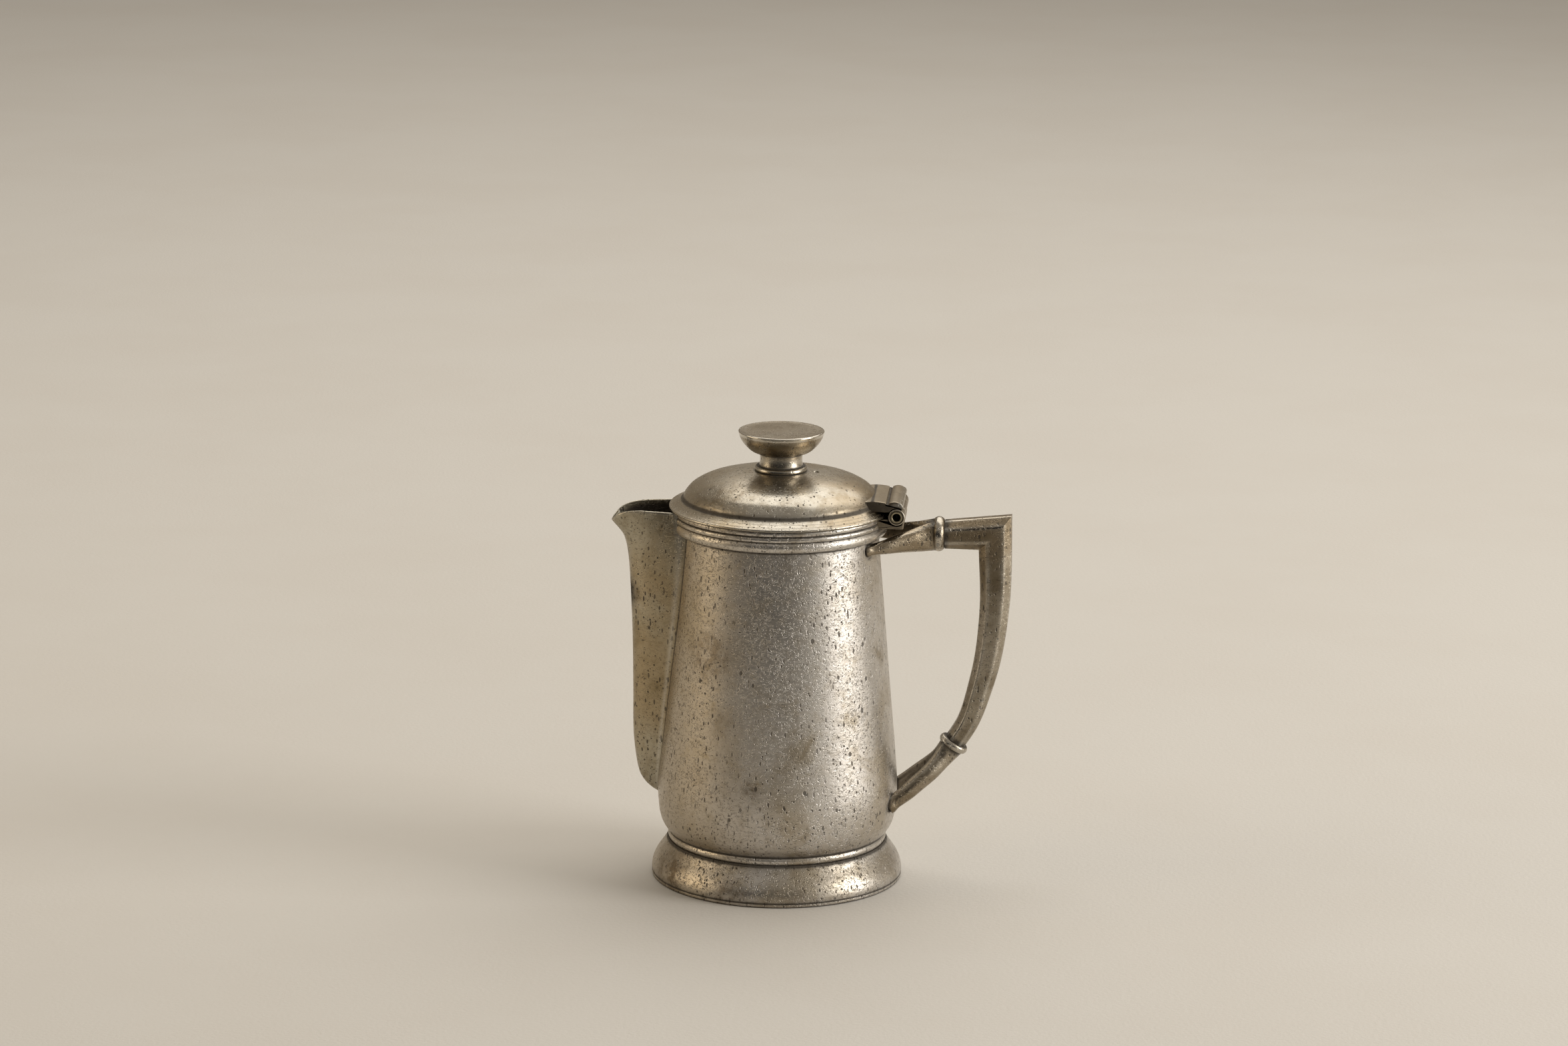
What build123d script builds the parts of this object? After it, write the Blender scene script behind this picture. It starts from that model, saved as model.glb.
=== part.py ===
from build123d import *
import os
from math import cos, hypot, radians, sin, sqrt

# Individual hotel-silver pot: a tapered body on a domed foot, a full-height gutter spout,
# a hinged domed lid with a drum knob, and a hollow handle held in two forked sockets.
#
# Frame, in millimetres: +Z up, origin at the centre of the foot's resting plane,
# +X towards the handle, -X towards the spout, symmetric about the XZ plane.

# ---- Heights of the stacked pieces, from the table up ----
FOOT_HEIGHT = 12.35
WAIST_HEIGHT = 2.35
WALL_HEIGHT = 98.7
RIM_BAND_HEIGHT = 7.0
LID_GAP = 0.15
BRIM_HEIGHT = 3.0
DOME_RISE = 9.3
KNOB_FLANGE_HEIGHT = 1.7
KNOB_NECK_HEIGHT = 4.05
KNOB_HEAD_HEIGHT = 7.3

# ---- Radii ----
FOOT_RADIUS = 40.1
WAIST_RADIUS = 35.05
BELLY_RADIUS = 38.45
MOUTH_RADIUS = 30.55           # outside of the wall at the mouth
BRIM_OVERHANG = 4.8            # brim's edge beyond the mouth
DOME_OVERHANG = 0.65           # foot of the dome beyond the mouth
KNOB_FLANGE_RADIUS = 8.35
KNOB_NECK_RADIUS = 6.7
KNOB_HEAD_RADIUS = 13.6

# ---- Gauges of metal ----
BODY_WALL = 1.1
FLOOR_THICKNESS = 1.2
FOOT_WALL = 1.1
SPOUT_WALL = 0.9
LID_WALL = 0.9
BEZEL_WALL = 0.9

# ---- Foot and body ----
FOOT_WIRE_HEIGHT = 1.2
FOOT_WIRE_WIDTH = 2.6
FOOT_FLANGE_WIDTH = 6.0        # flange at the top of the foot, under the floor
FOOT_DOME = [(0.13, 1.0), (0.47, 0.76), (0.78, 0.29)]    # (share of height, share of flare)
WAIST_BAND_DEPTH = 1.15        # radial thickness of the half-round waist band
WAIST_BAND_CROWN = 0.35
CREASE_STEP = 0.45             # the wall starts this far inside the face of the waist band
BELLY_BULGE = [(3.1, 0.43), (8.9, 0.09), (13.5, 0.013)]  # (rise, share of crease depth left)
INNER_LIFT = 0.7               # the inside of the belly starts this far above the crease
TAPER_SETBACK = 0.3            # the straight taper starts this far inside the belly radius
TAPER_RISE = 20.3              # and this high above the waist band
RIM_BAND_DEPTH = 2.85          # radial depth of the rim band under its reeds
REEDS = [(3.3, 0.75), (1.8, 0.65), (1.9, 0.35)]          # (height, how proud), from the lowest

# ---- Spout: (share of the wall's height, stand-off of the ridge, half width at the wall) ----
SPOUT_STATIONS = [
    (0.102, -0.85, 0.9),
    (0.132, 2.2, 3.0),
    (0.164, 5.1, 4.9),
    (0.214, 7.6, 6.5),
    (0.296, 9.3, 8.0),
    (0.429, 10.7, 9.8),
    (0.580, 12.35, 11.4),
    (0.731, 14.4, 12.5),
    (0.848, 16.4, 12.7),
    (0.902, 18.2, 12.4),
    (0.948, 22.4, 11.8),
    (0.992, 27.4, 11.2),
    (1.011, 29.5, 10.9),
]
SPOUT_SOLID_TOE = 2            # stations at the toe where the metal is solid
SPOUT_NOSE_POWER = 2.5         # bluntness of the ridge: depth grows with this power of width
SPOUT_HALF_WIDTHS = (-1.0, -0.75, -0.5, -0.25, 0.0, 0.25, 0.5, 0.75, 1.0)
SPOUT_ROOT_DEPTH = 6.0         # how far a section runs inside the wall before it is trimmed
# Lip: (beyond the mouth, drop below the rim), from the flat by the rim out past the tip
SPOUT_LIP = [(13.45, 0.8), (17.4, 1.35), (20.4, 2.5), (23.0, 5.0), (25.5, 8.5)]
STRAINER_HOLE_RADIUS = 1.1
STRAINER_PITCH = 4.2
STRAINER_ROWS = 7
STRAINER_DROP = 13.4           # top row below the rim
STRAINER_TOOL_LENGTH = 6.6

# ---- Lid ----
BEZEL_CLEARANCE = 0.5          # radial gap from the bezel to the inside of the mouth
BEZEL_DEPTH = 3.5
BRIM_EDGE_HEIGHT = 0.9
BRIM_UNDERCUT = 0.8            # share of the edge's height by which its underside is set in
BRIM_PLATE = 1.4
BRIM_HOLLOW = 0.25             # dip of the brim's hollow top
DOME_SHAPE = [(0.97, 0.19), (0.90, 0.44), (0.74, 0.70), (0.48, 0.885), (0.2, 0.98)]
DOME_FOOT_TANGENT = (-0.3, 1.0)
VENT_RADIUS = 1.0
VENT_X = 11.2
KNOB_SEAT_DROP = 0.4           # foot of the knob's flange below the top of the dome
FLANGE_ROUNDING = 0.333        # how far the flange bulges, as a share of its height
NECK_FOOT_FLARE = (0.25, 0.1)  # beyond the neck, above the flange
NECK_TOP_FLARE = 0.15
# Underside of the knob's head: (share of radius, share of height)
KNOB_BOWL = [(0.507, 0.0), (0.654, 0.08), (0.816, 0.315), (0.949, 0.658), (0.996, 0.92)]
KNOB_EDGE = 0.35
STUD_RADIUS = 2.0
STUD_REACH = 4.0               # depth of the stud in the knob's head
STUD_END = 0.8                 # stud below the nut
NUT_HEIGHT = 2.4
NUT_SIDES = 6
NUT_RADIUS = 3.7
WASHER_RADIUS = 4.8
WASHER_THICKNESS = 0.8

# ---- Hinge: places are relative to the pin ----
PIN_STANDOFF = 2.05            # pin's axis beyond the brim's edge
PIN_RISE = 0.45                # and above the underside of the brim
PIN_RADIUS = 2.0
PIN_BORE_RADIUS = 1.3
PIN_RUNNING_CLEARANCE = 0.05
KNUCKLE_RADIUS = 2.6
KNUCKLE_SIDE_GAP = 0.15
KNUCKLE_SWING_GAP = 0.3        # gap round a knuckle that turns past the leaf or the bracket
BRIM_SWING_GAP = 0.4
HINGE_WIDTH = 25.0
END_KNUCKLE_LENGTH = 6.2
BRACKET_OUTLINE = [(-6.5, -3.9), (2.2, -3.9), (2.2, -2.2), (0.0, -2.0), (-2.0, -0.8), (-6.5, -0.8)]
LEAF_ROOT = -11.5
LEAF_UNDERSIDE = 1.5
LEAF_CROWN = 4.95
LEAF_SHOULDER = 4.5
LEAF_GROOVE = (-2.9, 3.9)
LEAF_GROOVE_HALF_WIDTH = 0.55
LEAF_NOSE_TOP = (1.15, 4.4)
LEAF_NOSE_MIDDLE = (2.0, 3.5)
LEAF_NOSE_ANGLE = 54.0         # lower edge of the nose, up from the horizontal

# ---- Handle: heights are shares of the wall's height, stand-offs are beyond the belly ----
GRIP_WIDTH = 8.4
GRIP_ARM = (13.85, 0.932, 9.0) # (stand-off, height, depth) where the grip leaves the upper collar
GRIP_MITRE = ((24.6, 0.888), (34.95, 0.996))             # inner and outer corner
# (stand-off, height, depth) down the middle of the grip to its lower end
GRIP_STATIONS = [
    (30.05, 0.835, 10.3),
    (30.15, 0.750, 9.7),
    (29.45, 0.646, 9.1),
    (27.95, 0.542, 8.5),
    (25.25, 0.438, 7.7),
    (21.95, 0.348, 7.0),
    (18.45, 0.293, 6.7),
]
SIDE_FLAT = 0.5                # share of the grip's depth that is flat at its sides
EDGE_FLAT = 0.36               # share of the grip's width that is flat at its edges
UPPER_COLLAR = (3.8, 5.6)      # (length, radius)
LOWER_COLLAR = (2.7, 4.9)
COLLAR_ROUNDING = 0.42         # share of a collar's length taken by each rounded edge
# Prongs: (share of the way out from the wall to the collar, y, height, depth, thickness);
# the end gives y, height, depth and thickness at the wall
UPPER_PRONG = [(0.804, 3.0, 0.925, 8.2, 4.0), (0.636, 5.2, 0.921, 7.0, 3.8),
               (0.450, 7.6, 0.917, 5.8, 3.5), (0.254, 10.1, 0.911, 4.5, 3.2)]
UPPER_PRONG_END = (12.3, 0.903, 3.2, 3.0)
UPPER_PRONG_ROOT = 1.6         # depth inside the collar, as a share of the collar's radius
LOWER_PRONG = [(0.800, 3.0, 0.236, 5.9, 3.8), (0.643, 5.0, 0.206, 5.5, 3.8),
               (0.433, 7.0, 0.174, 5.2, 3.6), (0.233, 8.5, 0.144, 4.9, 3.5)]
LOWER_PRONG_END = (9.9, 0.114, 4.4, 3.3)
LOWER_PRONG_ROOT = 1.5
PRONG_SPREAD = 1.8             # the prongs leave the collar this far each side of the middle
PRONG_SINK = 1.4               # a prong runs this far into the wall before it is trimmed
PRONG_ROUNDING = 0.42          # share of a prong's thickness taken by each rounded corner

# ---- Levels and places worked out from the values above ----
WAIST_TOP = FOOT_HEIGHT + WAIST_HEIGHT
RIM_BASE = WAIST_TOP + WALL_HEIGHT
RIM_TOP = RIM_BASE + RIM_BAND_HEIGHT
BRIM_BASE = RIM_TOP + LID_GAP
BRIM_TOP = BRIM_BASE + BRIM_HEIGHT
DOME_TOP = BRIM_TOP + DOME_RISE
KNOB_BASE = DOME_TOP - KNOB_SEAT_DROP
FLANGE_TOP = KNOB_BASE + KNOB_FLANGE_HEIGHT
NECK_TOP = FLANGE_TOP + KNOB_NECK_HEIGHT
KNOB_TOP = NECK_TOP + KNOB_HEAD_HEIGHT
SKIRT_RADIUS = WAIST_RADIUS - WAIST_BAND_DEPTH
CREASE_RADIUS = WAIST_RADIUS - CREASE_STEP
BRIM_RADIUS = MOUTH_RADIUS + BRIM_OVERHANG
DOME_RADIUS = MOUTH_RADIUS + DOME_OVERHANG
BEZEL_RADIUS = MOUTH_RADIUS - BODY_WALL - BEZEL_CLEARANCE
PIN_X = BRIM_RADIUS + PIN_STANDOFF
PIN_Z = BRIM_BASE + PIN_RISE
HALF_HINGE = HINGE_WIDTH / 2
LID_KNUCKLE_HALF = HALF_HINGE - END_KNUCKLE_LENGTH - KNUCKLE_SIDE_GAP
OVERSHOOT = 1.0                # how far a cutting tool runs past what it cuts


# ---- Shared shapes ----
def turned(outline):
    """Solid turned about Z from a closed outline of (radius, height) edges."""
    return revolve(Plane.XZ * make_face(outline), Axis.Z)


def ring(inner, outer, bottom, top):
    """Plain ring of rectangular section about Z."""
    return turned(Polyline((inner, bottom), (outer, bottom), (outer, top), (inner, top), close=True))


def on_pin(radius, y_from, y_to):
    """Cylinder on the hinge axis between two places along Y."""
    middle = Pos(PIN_X, (y_from + y_to) / 2, PIN_Z)
    return middle * Rot(90, 0, 0) * Cylinder(radius, y_to - y_from)


def from_pin(point):
    """Place a point given relative to the pin."""
    return PIN_X + point[0], PIN_Z + point[1]


def wall_height(share):
    """Height at a share of the way from the waist band to the rim."""
    return WAIST_TOP + share * (RIM_TOP - WAIST_TOP)


def wall_radius(height):
    """Outside radius of the tapered wall, no more than the belly."""
    foot = BELLY_RADIUS - TAPER_SETBACK
    slope = (foot - MOUTH_RADIUS) / (RIM_TOP - WAIST_TOP - TAPER_RISE)
    return min(BELLY_RADIUS, MOUTH_RADIUS + slope * (RIM_TOP - height))


def wall_curve(inset, lift):
    """Side of the body, moved in by inset, with the foot of its belly raised by lift."""
    left = BELLY_RADIUS - CREASE_RADIUS
    bulge = [(BELLY_RADIUS - inset - share * left, WAIST_TOP + rise + lift) for rise, share in BELLY_BULGE]
    crease = (CREASE_RADIUS - inset, WAIST_TOP + lift)
    shoulder = (BELLY_RADIUS - TAPER_SETBACK - inset, WAIST_TOP + TAPER_RISE)
    mouth = (MOUTH_RADIUS - inset, RIM_TOP)
    taper = (mouth[0] - shoulder[0], mouth[1] - shoulder[1])
    return Spline(crease, *bulge, shoulder, tangents=((1, 1), taper)) + Line(shoulder, mouth)


def filled_body(inset, lift):
    """Everything inside the side of the body, from the crease to the mouth."""
    crease = (CREASE_RADIUS - inset, WAIST_TOP + lift)
    ends = Polyline((MOUTH_RADIUS - inset, RIM_TOP), (0, RIM_TOP), (0, crease[1]), crease)
    return turned(wall_curve(inset, lift) + ends)


# ---- Foot and body ----
def foot_curve(inset, top):
    """Domed side of the foot, from the foot wire up to its top flange."""
    flare = FOOT_RADIUS - WAIST_RADIUS
    rise = top - FOOT_WIRE_HEIGHT
    points = [(WAIST_RADIUS + share * flare - inset, FOOT_WIRE_HEIGHT + up * rise) for up, share in FOOT_DOME]
    return Spline((FOOT_RADIUS - inset, FOOT_WIRE_HEIGHT), *points, (WAIST_RADIUS - inset, top))


def make_foot_ring():
    """Spun foot: a domed side with a flange turned in at its top."""
    inner_top = FOOT_HEIGHT - FOOT_WALL
    flange = WAIST_RADIUS - FOOT_FLANGE_WIDTH
    edges = foot_curve(0, FOOT_HEIGHT)
    edges += Polyline((WAIST_RADIUS, FOOT_HEIGHT), (flange, FOOT_HEIGHT), (flange, inner_top),
                      (WAIST_RADIUS - FOOT_WALL, inner_top))
    edges += foot_curve(FOOT_WALL, inner_top)
    edges += Line((FOOT_RADIUS - FOOT_WALL, FOOT_WIRE_HEIGHT), (FOOT_RADIUS, FOOT_WIRE_HEIGHT))
    return turned(edges)


def make_foot_wire():
    """Flat wire round the foot's lower edge, which the pot stands on."""
    wire = ring(FOOT_RADIUS - FOOT_WIRE_WIDTH, FOOT_RADIUS, 0, FOOT_WIRE_HEIGHT)
    outer_corner = wire.edges().group_by(Axis.Z)[0].sort_by(SortBy.RADIUS)[-1]
    return fillet(outer_corner, FOOT_WIRE_HEIGHT / 2)


def make_waist_band():
    """Half-round band that covers the joint of body and foot."""
    bottom, top = FOOT_HEIGHT, WAIST_TOP
    shoulder = WAIST_RADIUS - WAIST_BAND_CROWN
    edges = Polyline((shoulder, top), (SKIRT_RADIUS, top), (SKIRT_RADIUS, bottom), (shoulder, bottom))
    edges += ThreePointArc((shoulder, bottom), (WAIST_RADIUS, (bottom + top) / 2), (shoulder, top))
    return turned(edges)


def strainer_holes():
    """Holes through the wall behind the spout, in rows set over each other's gaps."""
    holes = []
    for row in range(STRAINER_ROWS):
        height = RIM_TOP - STRAINER_DROP - row * STRAINER_PITCH
        count = 5 - row % 2
        for column in range(count):
            y = (column - (count - 1) / 2) * STRAINER_PITCH
            place = Pos(-wall_radius(height), y, height)
            holes.append(place * Rot(0, 90, 0) * Cylinder(STRAINER_HOLE_RADIUS, STRAINER_TOOL_LENGTH))
    return holes


def make_body_shell():
    """Raised wall of the pot with the short skirt that stands on the foot."""
    skirt = ring(0, SKIRT_RADIUS, FOOT_HEIGHT, WAIST_TOP)
    inside = ring(0, SKIRT_RADIUS - BODY_WALL, FOOT_HEIGHT, WAIST_TOP + INNER_LIFT)
    shell = filled_body(0, 0) + skirt - filled_body(BODY_WALL, INNER_LIFT) - inside
    return shell - strainer_holes()


def make_body_floor():
    """Bottom disc let into the skirt."""
    return ring(0, SKIRT_RADIUS - BODY_WALL, FOOT_HEIGHT, FOOT_HEIGHT + FLOOR_THICKNESS)


def reeded_ring():
    """The rim band before it is fitted to the wall and the spout."""
    root = MOUTH_RADIUS + RIM_BAND_DEPTH
    inner = MOUTH_RADIUS - BODY_WALL
    edges = Polyline((root, RIM_TOP), (inner, RIM_TOP), (inner, RIM_BASE), (root, RIM_BASE))
    scale = RIM_BAND_HEIGHT / sum(height for height, _ in REEDS)
    base = RIM_BASE
    for height, proud in REEDS:
        top = base + height * scale
        edges += ThreePointArc((root, base), (root + proud, (base + top) / 2), (root, top))
        base = top
    return turned(edges)


def make_rim_band():
    """Reeded band round the mouth, open where the spout comes through."""
    return reeded_ring() - filled_body(0, 0) - spout_envelope(0)


# ---- Spout ----
def spout_section(station, wall):
    """Section of the spout at one height, moved in by the wall's thickness."""
    share, standoff, half_width = station
    height = wall_height(share)
    radius = wall_radius(height)
    half = half_width - wall
    ridge = radius + standoff - wall
    seam = sqrt(radius ** 2 - half_width ** 2)
    side = [(-ridge + (ridge - seam) * abs(u) ** SPOUT_NOSE_POWER, u * half) for u in SPOUT_HALF_WIDTHS]
    root = SPOUT_ROOT_DEPTH - seam
    edges = Spline(*side) + Polyline(side[-1], (root, half), (root, -half), side[0])
    return Pos(0, 0, height) * make_face(edges)


def spout_envelope(wall):
    """Space inside the spout's skin: its outside for no wall, its channel for the real wall."""
    first = SPOUT_SOLID_TOE if wall else 0
    return loft([spout_section(station, wall) for station in SPOUT_STATIONS[first:]], ruled=True)


def make_spout_shell():
    """Gutter spout, open at the top and seamed to the wall along both edges."""
    lip = [(-MOUTH_RADIUS - out, RIM_TOP - drop) for out, drop in SPOUT_LIP]
    inner = (0, lip[0][1])
    far = -MOUTH_RADIUS - 2 * SPOUT_LIP[-1][0]
    top = RIM_TOP + 2 * SPOUT_ROOT_DEPTH
    edges = Line(inner, lip[0]) + Spline(*lip, tangents=((-1, 0), (-1, -1)))
    edges += Polyline(lip[-1], (far, lip[-1][1]), (far, top), (0, top), inner)
    above_lip = extrude(Plane.XZ * make_face(edges), 2 * MOUTH_RADIUS, both=True)
    return spout_envelope(0) - spout_envelope(SPOUT_WALL) - above_lip - filled_body(0, 0)


# ---- Hinge ----
def make_hinge_bracket():
    """Block soldered to the rim band, hollowed to seat the knuckles."""
    outline = Polyline(*[from_pin(point) for point in BRACKET_OUTLINE], close=True)
    block = extrude(Plane.XZ * make_face(outline), HALF_HINGE, both=True)
    passing = LID_KNUCKLE_HALF + KNUCKLE_SIDE_GAP
    block -= on_pin(KNUCKLE_RADIUS, -HALF_HINGE - OVERSHOOT, HALF_HINGE + OVERSHOOT)
    block -= on_pin(KNUCKLE_RADIUS + KNUCKLE_SWING_GAP, -passing, passing)
    return block - reeded_ring() - filled_body(0, 0)


def make_body_knuckle(side):
    """Fixed knuckle at one end of the hinge; side is 1 or -1 along Y."""
    inner, outer = sorted((side * (HALF_HINGE - END_KNUCKLE_LENGTH), side * HALF_HINGE))
    return on_pin(KNUCKLE_RADIUS, inner, outer) - on_pin(PIN_RADIUS, inner, outer)


def make_hinge_pin():
    """Tubular pin, tight in the fixed knuckles."""
    return on_pin(PIN_RADIUS, -HALF_HINGE, HALF_HINGE) - on_pin(PIN_BORE_RADIUS, -HALF_HINGE, HALF_HINGE)


def make_lid_knuckle():
    """Middle knuckle, which turns on the pin."""
    body = on_pin(KNUCKLE_RADIUS, -LID_KNUCKLE_HALF, LID_KNUCKLE_HALF)
    return body - on_pin(PIN_RADIUS + PIN_RUNNING_CLEARANCE, -LID_KNUCKLE_HALF, LID_KNUCKLE_HALF)


def make_lid_leaf():
    """Grooved leaf from the dome out over the knuckles."""
    groove_x, groove_z = LEAF_GROOVE
    arch = KNUCKLE_RADIUS + KNUCKLE_SWING_GAP
    nose = (arch * cos(radians(LEAF_NOSE_ANGLE)), arch * sin(radians(LEAF_NOSE_ANGLE)))
    root_top = (LEAF_ROOT, LEAF_SHOULDER)
    before = (groove_x - LEAF_GROOVE_HALF_WIDTH, LEAF_SHOULDER)
    after = (groove_x + LEAF_GROOVE_HALF_WIDTH, LEAF_SHOULDER)
    inner_crown = ((LEAF_ROOT + groove_x) / 2, LEAF_CROWN)
    outer_crown = ((after[0] + LEAF_NOSE_TOP[0]) / 2, LEAF_CROWN)

    def arc(*points):
        return ThreePointArc(*[from_pin(point) for point in points])

    edges = arc(root_top, inner_crown, before) + arc(before, (groove_x, groove_z), after)
    edges += arc(after, outer_crown, LEAF_NOSE_TOP) + arc(LEAF_NOSE_TOP, LEAF_NOSE_MIDDLE, nose)
    corners = [nose, (nose[0] / 2, LEAF_UNDERSIDE), (LEAF_ROOT, LEAF_UNDERSIDE), root_top]
    edges += Polyline(*[from_pin(point) for point in corners])
    leaf = extrude(Plane.XZ * make_face(edges), HALF_HINGE, both=True)
    leaf -= on_pin(KNUCKLE_RADIUS, -LID_KNUCKLE_HALF, LID_KNUCKLE_HALF)
    for side in (-1, 1):
        inner, outer = sorted((side * LID_KNUCKLE_HALF, side * (HALF_HINGE + OVERSHOOT)))
        leaf -= on_pin(arch, inner, outer)
    under_dome = ring(0, DOME_RADIUS, BRIM_BASE, BRIM_TOP)
    return leaf - brim_ring() - under_dome - filled_dome(DOME_RADIUS, DOME_RISE)


# ---- Lid ----
def make_lid_bezel():
    """Ring under the lid that drops into the mouth."""
    return ring(BEZEL_RADIUS - BEZEL_WALL, BEZEL_RADIUS, BRIM_BASE - BEZEL_DEPTH, BRIM_BASE + BRIM_PLATE)


def brim_ring():
    """The brim before it is cleared for the hinge."""
    edge_top = (BRIM_RADIUS - BRIM_EDGE_HEIGHT / 2, BRIM_BASE + BRIM_EDGE_HEIGHT)
    edge_bottom = (BRIM_RADIUS - BRIM_EDGE_HEIGHT * BRIM_UNDERCUT, BRIM_BASE)
    middle = ((edge_top[0] + DOME_RADIUS) / 2, (edge_top[1] + BRIM_TOP) / 2 - BRIM_HOLLOW)
    edges = ThreePointArc(edge_bottom, (BRIM_RADIUS, BRIM_BASE + BRIM_EDGE_HEIGHT / 2), edge_top)
    edges += ThreePointArc(edge_top, middle, (DOME_RADIUS, BRIM_TOP))
    edges += Polyline((DOME_RADIUS, BRIM_TOP), (DOME_RADIUS - LID_WALL, BRIM_TOP),
                      (DOME_RADIUS - LID_WALL, BRIM_BASE + BRIM_PLATE),
                      (BEZEL_RADIUS, BRIM_BASE + BRIM_PLATE), (BEZEL_RADIUS, BRIM_BASE), edge_bottom)
    return turned(edges)


def make_lid_brim():
    """Flared brim that rests on the rim, cleared round the knuckles."""
    reach = HALF_HINGE + BRIM_SWING_GAP
    return brim_ring() - on_pin(KNUCKLE_RADIUS + BRIM_SWING_GAP, -reach, reach)


def filled_dome(radius, rise):
    """Everything under a dome of this radius and rise that stands on the brim."""
    points = [(radius * out, BRIM_TOP + rise * up) for out, up in DOME_SHAPE]
    edges = Spline((radius, BRIM_TOP), *points, (0, BRIM_TOP + rise), tangents=(DOME_FOOT_TANGENT, (-1, 0)))
    edges += Polyline((0, BRIM_TOP + rise), (0, BRIM_TOP), (radius, BRIM_TOP))
    return turned(edges)


def make_lid_dome():
    """Spun dome with a steam vent towards the handle and a hole for the stud."""
    dome = filled_dome(DOME_RADIUS, DOME_RISE) - filled_dome(DOME_RADIUS - LID_WALL, DOME_RISE - LID_WALL)
    vent = Pos(VENT_X, 0, BRIM_TOP + DOME_RISE / 2) * Cylinder(VENT_RADIUS, DOME_RISE * 2)
    return dome - vent - make_knob_stud()


def make_knob_neck():
    """Flange and neck that carry the knob's head above the dome."""
    foot = KNOB_BASE - KNOB_SEAT_DROP
    middle = (KNOB_BASE + FLANGE_TOP) / 2
    shoulder = KNOB_FLANGE_RADIUS - KNOB_FLANGE_HEIGHT * FLANGE_ROUNDING
    lip = (KNOB_NECK_RADIUS + NECK_FOOT_FLARE[0], FLANGE_TOP + NECK_FOOT_FLARE[1])
    top = (KNOB_NECK_RADIUS + NECK_TOP_FLARE, NECK_TOP)
    edges = Polyline(top, (0, NECK_TOP), (0, foot), (shoulder, foot), (shoulder, KNOB_BASE))
    edges += ThreePointArc((shoulder, KNOB_BASE), (KNOB_FLANGE_RADIUS, middle), (shoulder, FLANGE_TOP))
    edges += Line((shoulder, FLANGE_TOP), lip)
    edges += ThreePointArc(lip, (KNOB_NECK_RADIUS, (FLANGE_TOP + NECK_TOP) / 2), top)
    return turned(edges) - filled_dome(DOME_RADIUS, DOME_RISE) - make_knob_stud()


def make_knob_head():
    """Drum-shaped head with a bowl-shaped underside and a flat top."""
    bowl = [(out * KNOB_HEAD_RADIUS, NECK_TOP + up * KNOB_HEAD_HEIGHT) for out, up in KNOB_BOWL]
    edge = (KNOB_HEAD_RADIUS - KNOB_EDGE, KNOB_TOP)
    rim = (KNOB_HEAD_RADIUS, KNOB_TOP - KNOB_EDGE / 2)
    edges = Spline(*bowl) + ThreePointArc(bowl[-1], rim, edge)
    edges += Polyline(edge, (0, KNOB_TOP), (0, NECK_TOP), bowl[0])
    return turned(edges) - make_knob_stud()


def nut_top():
    """Underside of the washer, inside the dome."""
    return DOME_TOP - LID_WALL - WASHER_THICKNESS


def make_knob_stud():
    """Stud from the knob's head down through the neck, dome, washer and nut."""
    return ring(0, STUD_RADIUS, nut_top() - NUT_HEIGHT - STUD_END, NECK_TOP + STUD_REACH)


def make_knob_washer():
    """Washer under the top of the dome."""
    return ring(STUD_RADIUS, WASHER_RADIUS, nut_top(), DOME_TOP - LID_WALL) - make_lid_dome()


def make_knob_nut():
    """Hexagon nut that draws the knob down."""
    nut = extrude(Pos(0, 0, nut_top() - NUT_HEIGHT) * RegularPolygon(NUT_RADIUS, NUT_SIDES), NUT_HEIGHT)
    return nut - make_knob_stud()


# ---- Handle ----
def grip_plane(x, z, outward):
    """Plane across the grip, whose x axis points outward in the XZ plane."""
    along = Vector(outward[1], 0, -outward[0])
    return Plane(origin=(x, 0, z), x_dir=(outward[0], 0, outward[1]), z_dir=along)


def grip_section(plane, depth):
    """Eight-sided section of the grip."""
    half, flat = depth / 2, depth / 2 * SIDE_FLAT
    wide, edge = GRIP_WIDTH / 2, GRIP_WIDTH / 2 * EDGE_FLAT
    corners = [(half, edge), (flat, wide), (-flat, wide), (-half, edge),
               (-half, -edge), (-flat, -wide), (flat, -wide), (half, -edge)]
    return plane * make_face(Polyline(*corners, close=True))


def grip_path():
    """Middle of the grip below the mitre, as (x, z, depth)."""
    return [(BELLY_RADIUS + out, wall_height(share), depth) for out, share, depth in GRIP_STATIONS]


def outward_at(path, index):
    """Unit direction across the path, pointing away from the pot."""
    before, after = path[max(index - 1, 0)], path[min(index + 1, len(path) - 1)]
    run_x, run_z = after[0] - before[0], after[1] - before[1]
    length = hypot(run_x, run_z)
    return -run_z / length, run_x / length


def make_handle_grip():
    """Hollow-ware grip of eight flats: a short arm mitred to a curved fall."""
    arm = arm_end()
    arm_start = grip_section(grip_plane(arm.X, arm.Z, (0, 1)), GRIP_ARM[2])
    (inner_out, inner_share), (outer_out, outer_share) = GRIP_MITRE
    inner_x, outer_x = BELLY_RADIUS + inner_out, BELLY_RADIUS + outer_out
    inner_z, outer_z = wall_height(inner_share), wall_height(outer_share)
    run = hypot(outer_x - inner_x, outer_z - inner_z)
    outward = ((outer_x - inner_x) / run, (outer_z - inner_z) / run)
    mitre = grip_section(grip_plane((inner_x + outer_x) / 2, (inner_z + outer_z) / 2, outward), run)
    path = grip_path()
    fall = [grip_section(grip_plane(px, pz, outward_at(path, i)), d) for i, (px, pz, d) in enumerate(path)]
    return loft([arm_start, mitre], ruled=True) + loft([mitre, fall[0]], ruled=True) + loft(fall)


def lower_end():
    """Lower end of the grip, as its place and its direction downwards."""
    path = grip_path()
    out_x, out_z = outward_at(path, len(path) - 1)
    x, z, _ = path[-1]
    return Vector(x, 0, z), Vector(out_z, 0, -out_x)


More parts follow.
